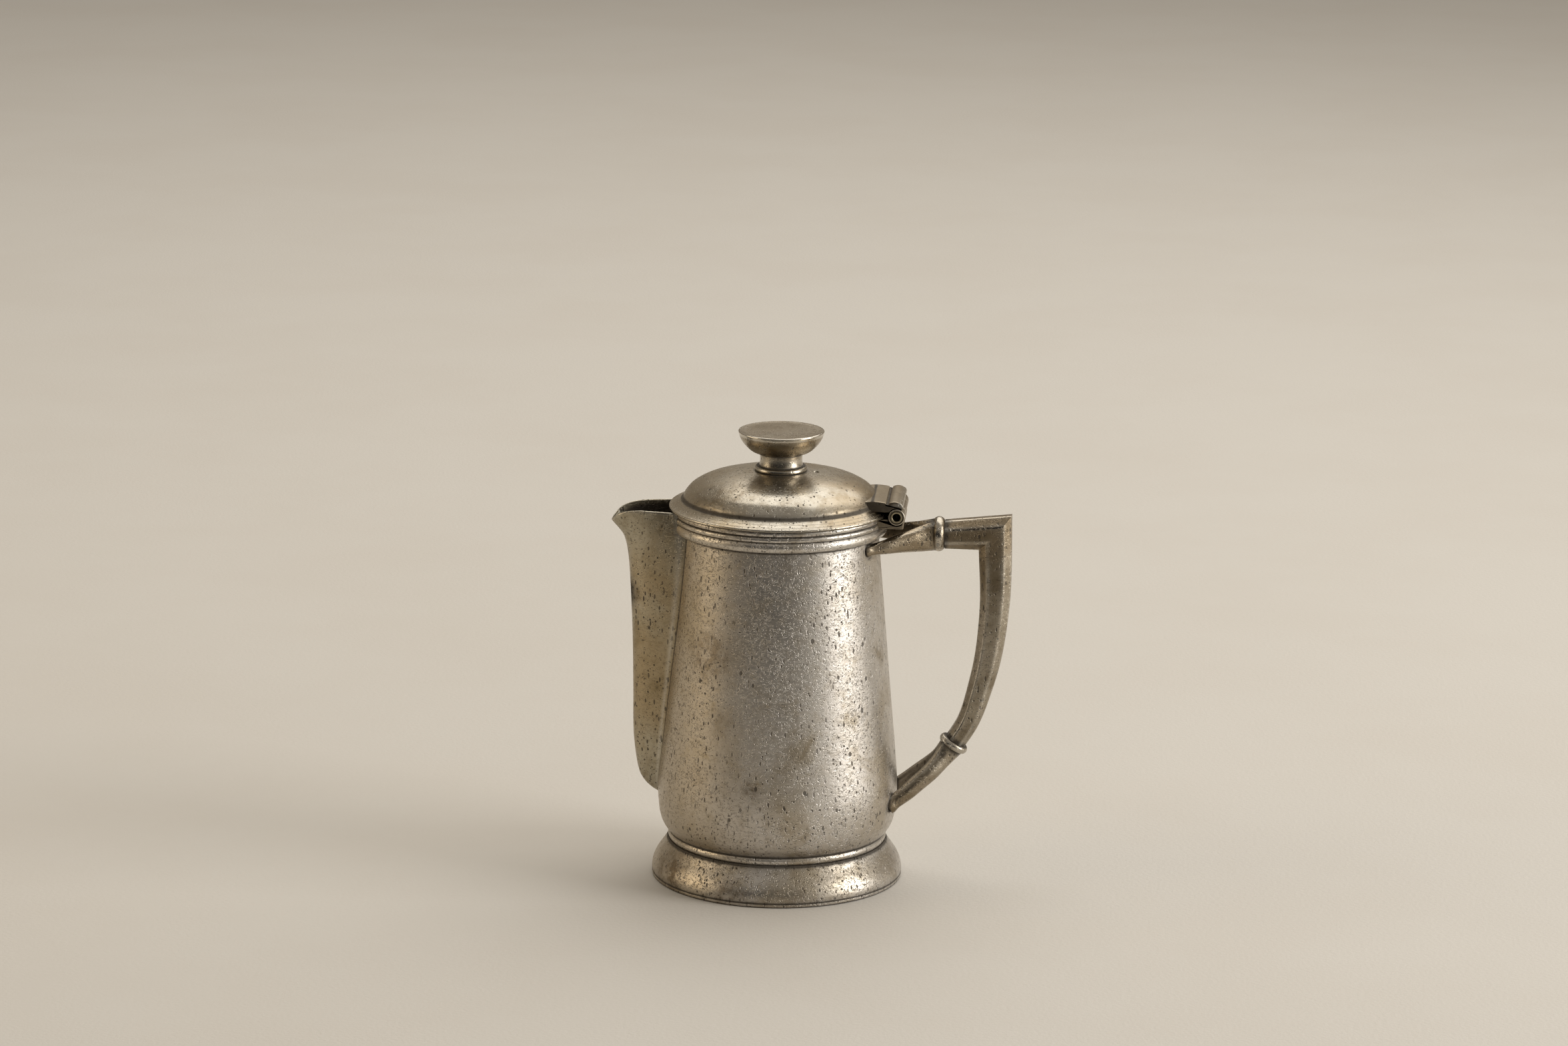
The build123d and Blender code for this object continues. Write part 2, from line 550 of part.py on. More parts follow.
def collar(start, direction, size):
    """Rounded collar that begins at a point and runs along a direction."""
    length, radius = size
    bead = Plane(origin=start + direction * (length / 2), z_dir=direction) * Cylinder(radius, length)
    rims = bead.edges().filter_by(GeomType.CIRCLE)
    return fillet(rims, length * COLLAR_ROUNDING)


def arm_end():
    """Inner end of the grip's arm."""
    out, share, _ = GRIP_ARM
    return Vector(BELLY_RADIUS + out, 0, wall_height(share))


def make_handle_upper_collar():
    """Collar between the grip's arm and the upper fork."""
    return collar(arm_end(), Vector(-1, 0, 0), UPPER_COLLAR)


def make_handle_lower_collar():
    """Collar between the grip's lower end and the lower fork."""
    start, direction = lower_end()
    return collar(start, direction, LOWER_COLLAR)


def prong_section(place, along, depth, thickness):
    """Rounded section of a prong, square to the direction it runs along."""
    lateral = Vector(0, 0, 1).cross(along).normalized()
    across = lateral.cross(along)
    plane = Plane(origin=place, x_dir=across, z_dir=along)
    return plane * RectangleRounded(depth, thickness, thickness * PRONG_ROUNDING)


def prong(start, direction, start_depth, stations, end, side):
    """One prong of a fork from the collar to the pot's wall; side is 1 or -1 along Y."""
    end_y, end_share, end_depth, end_thickness = end
    end_z = wall_height(end_share)
    end_x = sqrt(wall_radius(end_z) ** 2 - end_y ** 2)
    wall = Vector(end_x, side * end_y, end_z)
    places = [Vector(start.X, side * PRONG_SPREAD, start.Z)]
    places += [Vector(end_x + (start.X - end_x) * way, side * y, wall_height(share))
               for way, y, share, _, _ in stations]
    run = (wall - places[-1]).normalized()
    places += [wall + run * PRONG_SINK]
    sizes = [(start_depth, stations[0][4])] + [(depth, thick) for _, _, _, depth, thick in stations]
    sizes += [(end_depth, end_thickness)]
    runs = [direction] + [(after - before).normalized() for before, after in zip(places, places[2:])] + [run]
    return loft([prong_section(place, along, *size) for place, along, size in zip(places, runs, sizes)])


def fork(start, direction, start_depth, stations, end):
    """Two prongs that part at the collar and are fitted to the wall."""
    both = [prong(start, direction, start_depth, stations, end, side) for side in (-1, 1)]
    return both[0] + both[1] - filled_body(0, 0)


def make_handle_upper_fork():
    """Upper socket of the handle."""
    length, radius = UPPER_COLLAR
    direction = Vector(-1, 0, 0)
    inside_collar = arm_end() + direction * (length / 2)
    prongs = fork(inside_collar, direction, UPPER_PRONG_ROOT * radius, UPPER_PRONG, UPPER_PRONG_END)
    return prongs - make_handle_upper_collar()


def make_handle_lower_fork():
    """Lower socket of the handle."""
    length, radius = LOWER_COLLAR
    start, direction = lower_end()
    inside_collar = start + direction * (length / 2)
    prongs = fork(inside_collar, direction, LOWER_PRONG_ROOT * radius, LOWER_PRONG, LOWER_PRONG_END)
    return prongs - make_handle_lower_collar()


PARTS = {
    "foot_ring": make_foot_ring,
    "foot_wire": make_foot_wire,
    "waist_band": make_waist_band,
    "body_shell": make_body_shell,
    "body_floor": make_body_floor,
    "rim_band": make_rim_band,
    "spout_shell": make_spout_shell,
    "hinge_bracket": make_hinge_bracket,
    "hinge_knuckle_near": lambda: make_body_knuckle(-1),
    "hinge_knuckle_far": lambda: make_body_knuckle(1),
    "hinge_pin": make_hinge_pin,
    "handle_upper_fork": make_handle_upper_fork,
    "handle_lower_fork": make_handle_lower_fork,
    "handle_upper_collar": make_handle_upper_collar,
    "handle_lower_collar": make_handle_lower_collar,
    "handle_grip": make_handle_grip,
    "lid_bezel": make_lid_bezel,
    "lid_brim": make_lid_brim,
    "lid_dome": make_lid_dome,
    "lid_leaf": make_lid_leaf,
    "lid_knuckle": make_lid_knuckle,
    "knob_neck": make_knob_neck,
    "knob_head": make_knob_head,
    "knob_stud": make_knob_stud,
    "knob_washer": make_knob_washer,
    "knob_nut": make_knob_nut,
}

os.makedirs("parts", exist_ok=True)
for node, make in PARTS.items():
    export_step(make(), f"parts/{node}.step")
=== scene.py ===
"""A worn, silver-plated pot with a gutter spout and a hinged lid, on a pale floor.

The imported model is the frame: every piece here stands where its node stands and rides on its body.
Shapes are worked out in millimetres, with +Z up, +X towards the handle and -X towards the spout,
and become metres when their mesh is made.
"""

import logging
import math
from dataclasses import dataclass, field
from enum import Enum
from typing import Sequence

import bmesh
import bpy
import numpy as np
from mathutils import Matrix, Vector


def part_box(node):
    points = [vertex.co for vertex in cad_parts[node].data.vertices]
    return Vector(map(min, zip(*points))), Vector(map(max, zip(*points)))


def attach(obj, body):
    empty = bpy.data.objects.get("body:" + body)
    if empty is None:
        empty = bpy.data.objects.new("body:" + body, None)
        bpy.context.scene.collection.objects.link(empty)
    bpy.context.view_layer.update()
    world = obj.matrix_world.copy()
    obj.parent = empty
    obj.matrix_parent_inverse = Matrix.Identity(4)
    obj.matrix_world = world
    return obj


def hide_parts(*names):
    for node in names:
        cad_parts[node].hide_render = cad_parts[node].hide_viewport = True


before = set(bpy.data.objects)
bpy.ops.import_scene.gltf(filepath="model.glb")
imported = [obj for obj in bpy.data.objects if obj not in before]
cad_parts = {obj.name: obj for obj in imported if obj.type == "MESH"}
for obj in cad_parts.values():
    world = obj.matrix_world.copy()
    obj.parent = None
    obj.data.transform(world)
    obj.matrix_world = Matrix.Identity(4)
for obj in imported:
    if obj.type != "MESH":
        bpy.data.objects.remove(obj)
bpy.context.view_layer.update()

LOG = logging.getLogger("pot")
MM = 0.001
Array = np.ndarray
Colour = tuple[float, float, float]
Point = tuple[float, float]


class Body(Enum):
    """The rigid bodies of the frame."""

    POT = "pot"
    LID = "lid"


class Slot(Enum):
    """The record's material slots."""

    BODY = "body_plate"
    SPOUT = "spout_plate"
    LID = "lid_plate"
    KNOB = "knob_plate"
    HANDLE = "handle_plate"
    HINGE = "hinge_plate"
    PIN = "pin_metal"


class Mark(Enum):
    """Values kept on a mesh's points for its finish to read."""

    # Dirt together with painted shade in joints, grooves, gaps, corners and on end faces.
    GRIME_AND_SHADE = "grime"
    # Painted highlight together with wear on crowns, ridges, lips and edges.
    WEAR_AND_HIGHLIGHT = "shine"
    # Painted shade inside hollows: the pot, the spout's gutter, the lid and the foot.
    INSIDE = "inside"


# ---------------------------------------------------------------- curves


def arc(start: Point, middle: Point, end: Point, steps: int = 9) -> Array:
    """Circular arc through three points.

    Args:
        start: First point.
        middle: A point on the way.
        end: Last point.
        steps: Number of points returned.

    Returns:
        Points along the arc: centre + radius * (cos a, sin a) for evenly spaced a.
    """
    a, b, c = (np.array(p, float) for p in (start, middle, end))
    lhs = 2 * np.array([b - a, c - a])
    rhs = np.array([b @ b - a @ a, c @ c - a @ a])
    centre = np.linalg.solve(lhs, rhs)
    angles = [math.atan2(*(p - centre)[::-1]) for p in (a, b, c)]
    turn = (angles[2] - angles[0]) % (2 * math.pi)
    if (angles[1] - angles[0]) % (2 * math.pi) > turn:
        turn -= 2 * math.pi
    sweep = angles[0] + np.linspace(0, turn, steps)
    return centre + np.linalg.norm(a - centre) * np.stack([np.cos(sweep), np.sin(sweep)], 1)


def smooth(points: Sequence[Sequence[float]], steps: int) -> Array:
    """Natural cubic spline through points, with the chord length as its parameter.

    Args:
        points: Points to pass through, of two or more values each.
        steps: Number of points returned.

    Returns:
        Evenly spaced points; each value is a cubic between knots whose slope and curvature carry on.
    """
    knots = np.array(points, float)
    at = np.r_[0, np.cumsum(np.linalg.norm(np.diff(knots, axis=0), axis=1))]
    gap = np.diff(at)
    slope = np.diff(knots, axis=0) / gap[:, None]
    system, rhs = np.eye(len(knots)), np.zeros_like(knots)
    rows = np.arange(1, len(knots) - 1)
    system[rows, rows - 1], system[rows, rows + 1] = gap[:-1], gap[1:]
    system[rows, rows] = 2 * (gap[:-1] + gap[1:])
    rhs[1:-1] = 6 * np.diff(slope, axis=0)
    bend = np.linalg.solve(system, rhs)
    where = np.linspace(0, at[-1], steps)
    i = np.clip(np.searchsorted(at, where) - 1, 0, len(gap) - 1)
    w, h = (where - at[i])[:, None], gap[i][:, None]
    linear = slope[i] - h * (2 * bend[i] + bend[i + 1]) / 6
    return knots[i] + w * linear + w**2 * bend[i] / 2 + w**3 * (bend[i + 1] - bend[i]) / (6 * h)


def steady(where: Array, knots: Sequence[float], values: Sequence[float]) -> Array:
    """Cubic interpolation that never overshoots its values.

    Args:
        where: Places to evaluate.
        knots: Increasing places of the values.
        values: The values there.

    Returns:
        Hermite cubics whose slope at each knot is the harmonic mean of its two sides, or 0 at a peak.
    """
    x, y = np.array(knots, float), np.array(values, float)
    h = np.diff(x)
    s = np.diff(y) / h
    rising = s[:-1] * s[1:]
    slope = np.r_[s[0], np.where(rising > 0, 2 * rising / (s[:-1] + s[1:] + 1e-12), 0), s[-1]]
    i = np.clip(np.searchsorted(x, where) - 1, 0, len(h) - 1)
    t = (where - x[i]) / h[i]
    start = y[i] * (2 * t**3 - 3 * t**2 + 1) + h[i] * slope[i] * (t**3 - 2 * t**2 + t)
    return start + y[i + 1] * (3 * t**2 - 2 * t**3) + h[i] * slope[i + 1] * (t**3 - t**2)


def line(start: Point, end: Point, steps: int = 2) -> Array:
    """Evenly spaced points of a straight line."""
    return np.linspace(start, end, steps)


def joined(*runs: Array) -> Array:
    """Runs of points end to end, leaving out a point that repeats the one before it.

    Args:
        runs: Runs of points.

    Returns:
        All their points in order.
    """
    points = np.concatenate([np.atleast_2d(np.array(run, float)) for run in runs])
    new = np.linalg.norm(np.diff(points, axis=0), axis=1) > 1e-6
    return points[np.r_[True, new]]


def rounded(corners: Sequence[tuple[float, float, float]], steps: int = 5) -> Array:
    """Closed outline whose corners are rounded, each by its own radius.

    Args:
        corners: (x, y, radius) in order.
        steps: Points on each rounded corner.

    Returns:
        Outline points; a corner is the quadratic curve between two points set back from it by
        its radius over the tangent of half its angle.
    """
    spots = np.array([c[:2] for c in corners], float)
    radii = np.array([c[2] for c in corners], float)
    back, on = np.roll(spots, 1, 0) - spots, np.roll(spots, -1, 0) - spots
    back_len, on_len = np.linalg.norm(back, axis=1), np.linalg.norm(on, axis=1)
    back, on = back / back_len[:, None], on / on_len[:, None]
    half = np.arccos(np.clip((back * on).sum(1), -1, 1)) / 2
    set_back = np.minimum(radii / np.tan(half), 0.49 * np.minimum(back_len, on_len))[:, None]
    a, c = spots + back * set_back, spots + on * set_back
    t = np.linspace(0, 1, steps)[None, :, None]
    bends = (1 - t) ** 2 * a[:, None] + 2 * t * (1 - t) * spots[:, None] + t**2 * c[:, None]
    outline = joined(bends.reshape(-1, 2))
    return outline[:-1] if np.allclose(outline[0], outline[-1], atol=1e-6) else outline


def finer(outline: Array, longest: float) -> Array:
    """Closed outline with its long edges divided so that none is much over a length.

    Args:
        outline: Outline points in order.
        longest: The longest edge wanted.

    Returns:
        The outline with points added on its edges: start + k / n * (end - start).
    """
    ends = np.roll(outline, -1, 0)
    counts = np.maximum(1, np.ceil(np.linalg.norm(ends - outline, axis=1) / longest)).astype(int)
    return np.concatenate([np.linspace(a, b, n, endpoint=False) for a, b, n in zip(outline, ends, counts)])


def ease(low: float, high: float, value: Array) -> Array:
    """Smooth step from 0 at low to 1 at high: 3t^2 - 2t^3."""
    t = np.clip((value - low) / (high - low), 0, 1)
    return t * t * (3 - 2 * t)


def near(value: Array, centre: float, width: float) -> Array:
    """Bell that is 1 at a centre and falls off over a width: exp(-(d/width)^2)."""
    return np.exp(-(((value - centre) / width) ** 2))


def around(segments: int) -> Array:
    """Angles of a full turn as a row."""
    return np.linspace(0, 2 * np.pi, segments, endpoint=False)[None, :]


# ---------------------------------------------------------------- meshes


def sheet_piece(name: str, points: Array, wrap_rows: bool, wrap_columns: bool, caps: bool = False,
                marks: dict[Mark, Array] | None = None, sharp: float = 35.0) -> bpy.types.Object:
    """Mesh object from a grid of points.

    Args:
        name: The piece's name.
        points: Array of rows x columns x 3, in millimetres.
        wrap_rows: Join the last row to the first.
        wrap_columns: Join the last column to the first.
        caps: Close the first and last rows with a face each.
        marks: Values for each point of the grid, by mark.
        sharp: Edges that turn by more than this many degrees are shaded sharp.

    Returns:
        The object, at the origin, with outward faces and closed poles.
    """
    rows, columns = points.shape[:2]
    index = np.arange(rows * columns).reshape(rows, columns)
    a = index if wrap_rows else index[:-1]
    b = np.roll(index, -1, 0) if wrap_rows else index[1:]
    if wrap_columns:
        a2, b2 = np.roll(a, -1, 1), np.roll(b, -1, 1)
    else:
        a, a2, b, b2 = a[:, :-1], a[:, 1:], b[:, :-1], b[:, 1:]
    faces = np.stack([a, a2, b2, b], -1).reshape(-1, 4)
    spots = points.reshape(-1, 3)
    p = [spots[faces[:, k]] for k in range(4)]
    volume = (np.cross(p[0], p[1]) * p[2]).sum() + (np.cross(p[0], p[2]) * p[3]).sum()
    loops = faces.tolist()
    if caps:
        first, last = index[0][::-1].tolist(), index[-1].tolist()
        loops += [first, last]
        for cap in (first, last):
            fan = spots[cap]
            volume += (np.cross(fan[0], fan[1:-1]) * fan[2:]).sum()
    if volume < 0:
        loops = [loop[::-1] for loop in loops]
    mesh = bpy.data.meshes.new(name)
    mesh.from_pydata((spots * MM).tolist(), [], loops)
    for mark in Mark:
        values = np.broadcast_to(np.asarray((marks or {}).get(mark, 0.0), np.float32), (rows, columns))
        layer = mesh.attributes.new(mark.value, "FLOAT", "POINT")
        layer.data.foreach_set("value", values.ravel())
    welded = bmesh.new()
    welded.from_mesh(mesh)
    bmesh.ops.remove_doubles(welded, verts=welded.verts, dist=1e-7)
    welded.to_mesh(mesh)
    welded.free()
    mesh.shade_smooth()
    mesh.set_sharp_from_angle(angle=math.radians(sharp))
    piece = bpy.data.objects.new(name, mesh)
    bpy.context.scene.collection.objects.link(piece)
    return piece


def merged(name: str, pieces: Sequence[bpy.types.Object]) -> bpy.types.Object:
    """One object from several, each still a closed shell of its own.

    Args:
        name: The new object's name.
        pieces: The objects, which are removed.

    Returns:
        The object.
    """
    whole = bmesh.new()
    for piece in pieces:
        whole.from_mesh(piece.data)
    mesh = bpy.data.meshes.new(name)
    whole.to_mesh(mesh)
    whole.free()
    for piece in pieces:
        bpy.data.objects.remove(piece)
    result = bpy.data.objects.new(name, mesh)
    bpy.context.scene.collection.objects.link(result)
    return result


def turned(name: str, outline: Array, segments: int = 256, marks: dict[Mark, Array] | None = None,
           sway: Array | float = 0.0, sharp: float = 35.0) -> bpy.types.Object:
    """Solid of revolution about Z: (r, z) becomes (r cos a, r sin a, z).

    Args:
        name: The piece's name.
        outline: Closed outline of (radius, height).
        segments: Steps round the axis.
        marks: Values for each point of the outline, by mark, or for the whole grid.
        sway: Added to the radius, over the whole grid.
        sharp: Angle of a sharp edge, in degrees.

    Returns:
        The object.
    """
    angle = around(segments)
    radius = outline[:, :1] + sway
    height = np.broadcast_to(outline[:, 1:], (len(outline), segments))
    points = np.stack([radius * np.cos(angle), radius * np.sin(angle), height], -1)
    spread = {mark: value if np.ndim(value) == 2 else np.repeat(value[:, None], segments, 1)
              for mark, value in (marks or {}).items()}
    return sheet_piece(name, points, True, True, marks=spread, sharp=sharp)


def along_y(outline: Array, stations: Array, grow: Array) -> Array:
    """Grid of an XZ outline carried along Y, drawn in by a margin at each station.

    Args:
        outline: Closed outline of (x, z).
        stations: Places along Y.
        grow: How far the outline is moved outwards at each station.

    Returns:
        Points of rows x columns x 3; each outline point moves along its own outward normal.
    """
    tangent = np.roll(outline, -1, 0) - np.roll(outline, 1, 0)
    tangent /= np.linalg.norm(tangent, axis=1)[:, None] + 1e-12
    normal = np.stack([tangent[:, 1], -tangent[:, 0]], 1)
    x, z = outline[:, 0], outline[:, 1]
    if (x * np.roll(z, -1) - z * np.roll(x, -1)).sum() < 0:
        normal = -normal
    flat = outline[None] + grow[:, None, None] * normal[None]
    depth = np.broadcast_to(stations[:, None], flat.shape[:2])
    return np.stack([flat[..., 0], depth, flat[..., 1]], -1)


def drill(name: str, axis: int, centre: Point, radius: float, ends: Sequence[float],
          sides: int) -> bpy.types.Object:
    """Round cutter: the circle centre + radius * (cos a, sin a), carried between two places along an axis.

    Args:
        name: The cutter's name.
        axis: The axis it lies along: 0, 1 or 2.
        centre: Its place on the other two axes, in their order.
        radius: Its radius.
        ends: Where it starts and ends along its axis.
        sides: Points on its circle.

    Returns:
        The cutter, closed at both ends.
    """
    turn = around(sides)[0]
    circle = np.stack([centre[0] + radius * np.cos(turn), centre[1] + radius * np.sin(turn)])
    rings = [np.insert(circle, axis, end, axis=0).T for end in ends]
    return sheet_piece(name, np.stack(rings), False, True, caps=True)


def bored(piece: bpy.types.Object, cutters: Sequence[bpy.types.Object]) -> None:
    """Cut holes through a piece and apply the cut to its mesh.

    Args:
        piece: The object that is cut.
        cutters: The cutters, which are removed.
    """
    for cutter in cutters:
        cut = piece.modifiers.new("hole", "BOOLEAN")
        cut.operation, cut.solver, cut.object = "DIFFERENCE", "EXACT", cutter
    seen = piece.evaluated_get(bpy.context.evaluated_depsgraph_get())
    mesh = bpy.data.meshes.new_from_object(seen)
    piece.modifiers.clear()
    piece.data = mesh
    for cutter in cutters:
        bpy.data.objects.remove(cutter)


# ---------------------------------------------------------------- shader graph


class Wire:
    """A shader socket that Python arithmetic can work on."""

    def __init__(self, graph: "Graph", socket: bpy.types.NodeSocket) -> None:
        """Keep a graph's output socket."""
        self.graph, self.socket = graph, socket

    def _maths(self, operation: str, *values: "Wire | float") -> "Wire":
        """Result of a Math node."""
        return self.graph.node("ShaderNodeMath", dict(enumerate(values)), operation=operation)

    def __add__(self, other: "Wire | float") -> "Wire":
        """Sum."""
        return self._maths("ADD", self, other)

    def __sub__(self, other: "Wire | float") -> "Wire":
        """Difference."""
        return self._maths("SUBTRACT", self, other)

    def __mul__(self, other: "Wire | float") -> "Wire":
        """Product."""
        return self._maths("MULTIPLY", self, other)

    def __rsub__(self, other: float) -> "Wire":
        """Difference from a number."""
        return self._maths("SUBTRACT", other, self)

    __radd__, __rmul__ = __add__, __mul__

    def either(self, other: "Wire") -> "Wire":
        """The larger of two values."""
        return self._maths("MAXIMUM", self, other)

    def step(self, low: float, high: float) -> "Wire":
        """Smooth step from 0 at low to 1 at high."""
        ends = {0: self, 1: low, 2: high, 3: 0.0, 4: 1.0}
        return self.graph.node("ShaderNodeMapRange", ends, interpolation_type="SMOOTHSTEP")


class Graph:
    """Nodes of one material or world."""

    def __init__(self, tree: bpy.types.NodeTree) -> None:
        """Start an empty graph."""
        self.tree = tree
        tree.nodes.clear()

    def node(self, kind: str, inputs: dict[int | str, "Wire | float | Sequence[float]"] | None = None,
             output: int | str = 0, **settings: object) -> Wire:
        """Add a node.

        Args:
            kind: The node's type.
            inputs: Values or wires by socket.
            output: The socket returned.
            settings: Properties set before the sockets; stops are a ramp's (place, colour) pairs.

        Returns:
            The chosen output.
        """
        node = self.tree.nodes.new(kind)
        for name, value in settings.items():
            if name == "stops":
                for _ in range(len(value) - 2):
                    node.color_ramp.elements.new(0.5)
                for element, (place, colour) in zip(node.color_ramp.elements, value):
                    element.position, element.color = place, (*colour, 1)
            else:
                setattr(node, name, value)
        for name, value in (inputs or {}).items():
            if isinstance(value, Wire):
                self.tree.links.new(value.socket, node.inputs[name])
            else:
                node.inputs[name].default_value = value
        return Wire(self, node.outputs[output]) if len(node.outputs) else None

    def blend(self, factor: Wire | float, first: Wire | Colour, second: Wire | Colour,
              kind: str = "MIX") -> Wire:
        """Mix two colours.

        Args:
            factor: How much of the second shows.
            first: The first colour.
            second: The second colour.
            kind: The blend type.

        Returns:
            The mixed colour.
        """
        first, second = (c if isinstance(c, Wire) else (*c, 1.0) for c in (first, second))
        return self.node("ShaderNodeMix", {0: factor, 6: first, 7: second}, output=2,
                         data_type="RGBA", blend_type=kind)

    def place(self, scale: Sequence[float] = (1, 1, 1), turn: Sequence[float] = (0, 0, 0),
              shift: Sequence[float] = (0, 0, 0)) -> Wire:
        """Object coordinates, moved, turned and scaled."""
        values = {"Vector": self.node("ShaderNodeTexCoord", output="Object")}
        return self.node("ShaderNodeMapping", values | {"Scale": scale, "Rotation": turn, "Location": shift})

    def noise(self, spot: Wire, scale: float, detail: float = 3.0, rough: float = 0.5,
              twist: float = 0.0) -> Wire:
        """Noise between 0 and 1; scale is features per metre."""
        values = {"Vector": spot, "Scale": scale, "Detail": detail, "Roughness": rough, "Distortion": twist}
        return self.node("ShaderNodeTexNoise", values)

    def mark(self, mark: Mark) -> Wire:
        """A value kept on the mesh's points."""
        return self.node("ShaderNodeAttribute", output="Fac", attribute_name=mark.value)

    def surface(self, sockets: dict[str, Wire | float]) -> None:
        """Principled shader, with these values or wires, as the surface."""
        self.node("ShaderNodeOutputMaterial", {"Surface": self.node("ShaderNodeBsdfPrincipled", sockets)})

    def flecks(self, spot: Wire, scale: float, size: float, share: float) -> Wire:
        """Small pits: 1 inside a share of the cells, within a size of each cell's centre.

        Args:
            spot: Coordinates.
            scale: Cells per metre.
            size: Radius of a pit, as a share of a cell.
            share: Share of the cells that have one.

        Returns:
            1 in a pit and 0 elsewhere, with a soft edge.
        """
        cells = {"Vector": spot, "Scale": scale, "Randomness": 1.0}
        distance = self.node("ShaderNodeTexVoronoi", cells, output="Distance")
        colour = self.node("ShaderNodeTexVoronoi", cells, output="Color")
        chance = self.node("ShaderNodeSeparateColor", {0: colour}, output=0)
        return (1 - distance.step(size * 0.65, size)) * chance.step(1 - share - 0.02, 1 - share + 0.02)


def material_graph(name: str) -> tuple[bpy.types.Material, Graph]:
    """New material and its empty graph.

    Args:
        name: The material's name.

    Returns:
        The material and the graph.
    """
    material = bpy.data.materials.new(name)
    material.use_nodes = True
    return material, Graph(material.node_tree)


@dataclass(frozen=True)
class Plate:
    """Worn silver plate: a bright metal with tarnish, pits, dashes and a wrinkled skin."""

    name: str
    bright: Colour = (0.54, 0.525, 0.505)
    warm: Colour = (0.43, 0.375, 0.295)
    olive: Colour = (0.27, 0.215, 0.135)
    # Dark colour of pits, creases and dirt, also used for painted shade in joints and grooves.
    dirt_and_shade: Colour = (0.045, 0.036, 0.026)
    # Colour of the painted shade inside hollows.
    hollow_shade: Colour = (0.070, 0.062, 0.058)
    # Colour of the painted warm reflection on the left side.
    golden_reflection: Colour = (0.40, 0.315, 0.19)
    brown: Colour = (0.13, 0.088, 0.042)
    # Colour of painted highlights and wear.
    worn_and_highlight: Colour = (0.74, 0.71, 0.64)
    warm_share: float = 0.5
    olive_share: float = 0.35
    roughness: float = 0.34
    wrinkle: float = 1.0
    pits: float = 1.0
    # Strength of the painted golden reflection on the left side.
    golden_reflection_side: float = 0.0
    stains: tuple[tuple[float, float, float, float, float], ...] = ()

    def tarnish(self, g: Graph, spot: Wire, cloud: Wire, mottle: Wire) -> Wire:
        """Colour under the dirt and painted shade: bright metal with warm and olive patches, a painted golden
        reflection on the left side, and stains.

        Args:
            g: The material's graph.
            spot: Object coordinates.
            cloud: Noise of about two centimetres.
            mottle: Noise of a few millimetres.

        Returns:
            The colour.
        """
        broad = g.noise(spot, 22, 4, 0.55, 0.4)
        warmth = broad.step(0.62 - 0.3 * self.warm_share, 0.72 - 0.1 * self.warm_share)
        patches = cloud.step(0.66 - 0.3 * self.olive_share, 0.80 - 0.2 * self.olive_share)
        tone = g.blend(warmth, self.bright, self.warm)
        tone = g.blend(patches * 0.75, tone, self.olive)
        tone = g.blend(mottle.step(0.46, 0.72) * 0.35, tone, self.olive)
        # Painted reflection: the left side is blended towards a golden colour.
        if self.golden_reflection_side:
            left = g.node("ShaderNodeSeparateXYZ", {0: spot}, output=0)
            left = (0 - left + (cloud - 0.5) * 0.03).step(-0.004, 0.028)
            tone = g.blend(left * self.golden_reflection_side, tone, self.golden_reflection)
        for x, y, z, reach, strength in self.stains:
            ends = {0: spot, 1: (x, y, z)}
            away = g.node("ShaderNodeVectorMath", ends, output="Value", operation="DISTANCE")
            away = away + (cloud - 0.5) * reach * 1.6 + (mottle - 0.5) * reach * 0.7
            stain = (1 - away.step(reach * 0.25, reach)) * (mottle.step(0.38, 0.60) * 0.7 + 0.3)
            tone = g.blend(stain * strength, tone, self.brown)
        return tone

    def pitting(self, g: Graph, spot: Wire) -> Wire:
        """Pits and short dashes of several sizes, thicker in patches.

        Args:
            g: The material's graph.
            spot: Object coordinates.

        Returns:
            1 in a pit and 0 elsewhere.
        """
        round_pits = g.flecks(spot, 500, 0.20, 0.50 * self.pits)
        fine_pits = g.flecks(g.place(shift=(1, 2, 3)), 950, 0.20, 0.50 * self.pits)
        upright = g.flecks(g.place((1, 1, 0.4), (0.5, 0.45, 0)), 600, 0.20, 0.42 * self.pits)
        slanted = g.flecks(g.place((1, 1, 0.35), (0.9, -0.9, 0.4)), 540, 0.20, 0.42 * self.pits)
        bigger = g.flecks(g.place((1, 1, 0.7), (0.2, 0.8, 0)), 190, 0.13, 0.22 * self.pits)
        patch = g.noise(g.place(shift=(9, 4, 6)), 60, 4, 0.6).step(0.36, 0.64)
        small = round_pits.either(upright).either(slanted) * (patch * 0.45 + 0.55)
        return small.either(fine_pits * 0.85).either(bigger * 0.9)

    def creases(self, g: Graph, calm: Wire) -> Wire:
        """Fine broken wrinkles where a noise crosses its middle value.

        Args:
            g: The material's graph.
            calm: How wrinkled each region is.

        Returns:
            1 on a wrinkle and 0 elsewhere.
        """
        wander = g.noise(g.place((1, 1, 2.1), (0.35, 0.3, 0.2)), 700, 2, 0.5, 0.8) - 0.5
        broken = g.noise(g.place(shift=(4, 1, 7)), 980, 2, 0.5).step(0.44, 0.56)
        return (1 - wander.either(0 - wander).step(0.005, 0.055)) * broken * calm

    def build(self) -> bpy.types.Material:
        """Make the material.

        Returns:
            Material whose colour, roughness, metal and bump all follow object coordinates and marks.
        """
        material, g = material_graph(self.name)
        spot = g.place()
        grime, shine, inside = (g.mark(mark) for mark in (Mark.GRIME_AND_SHADE, Mark.WEAR_AND_HIGHLIGHT, Mark.INSIDE))
        cloud = g.noise(g.place(shift=(3.1, 1.7, 0.4)), 55, 5, 0.6, 0.6)
        grain = g.noise(spot, 1500, 3, 0.6)
        mottle = g.noise(g.place(shift=(0.7, 5.3, 2.2)), 300, 5, 0.65)
        calm = g.noise(g.place(shift=(2, 8, 5)), 34, 2).step(0.26, 0.54) * 0.65 + 0.35
        pitted, crease = self.pitting(g, spot), self.creases(g, calm)
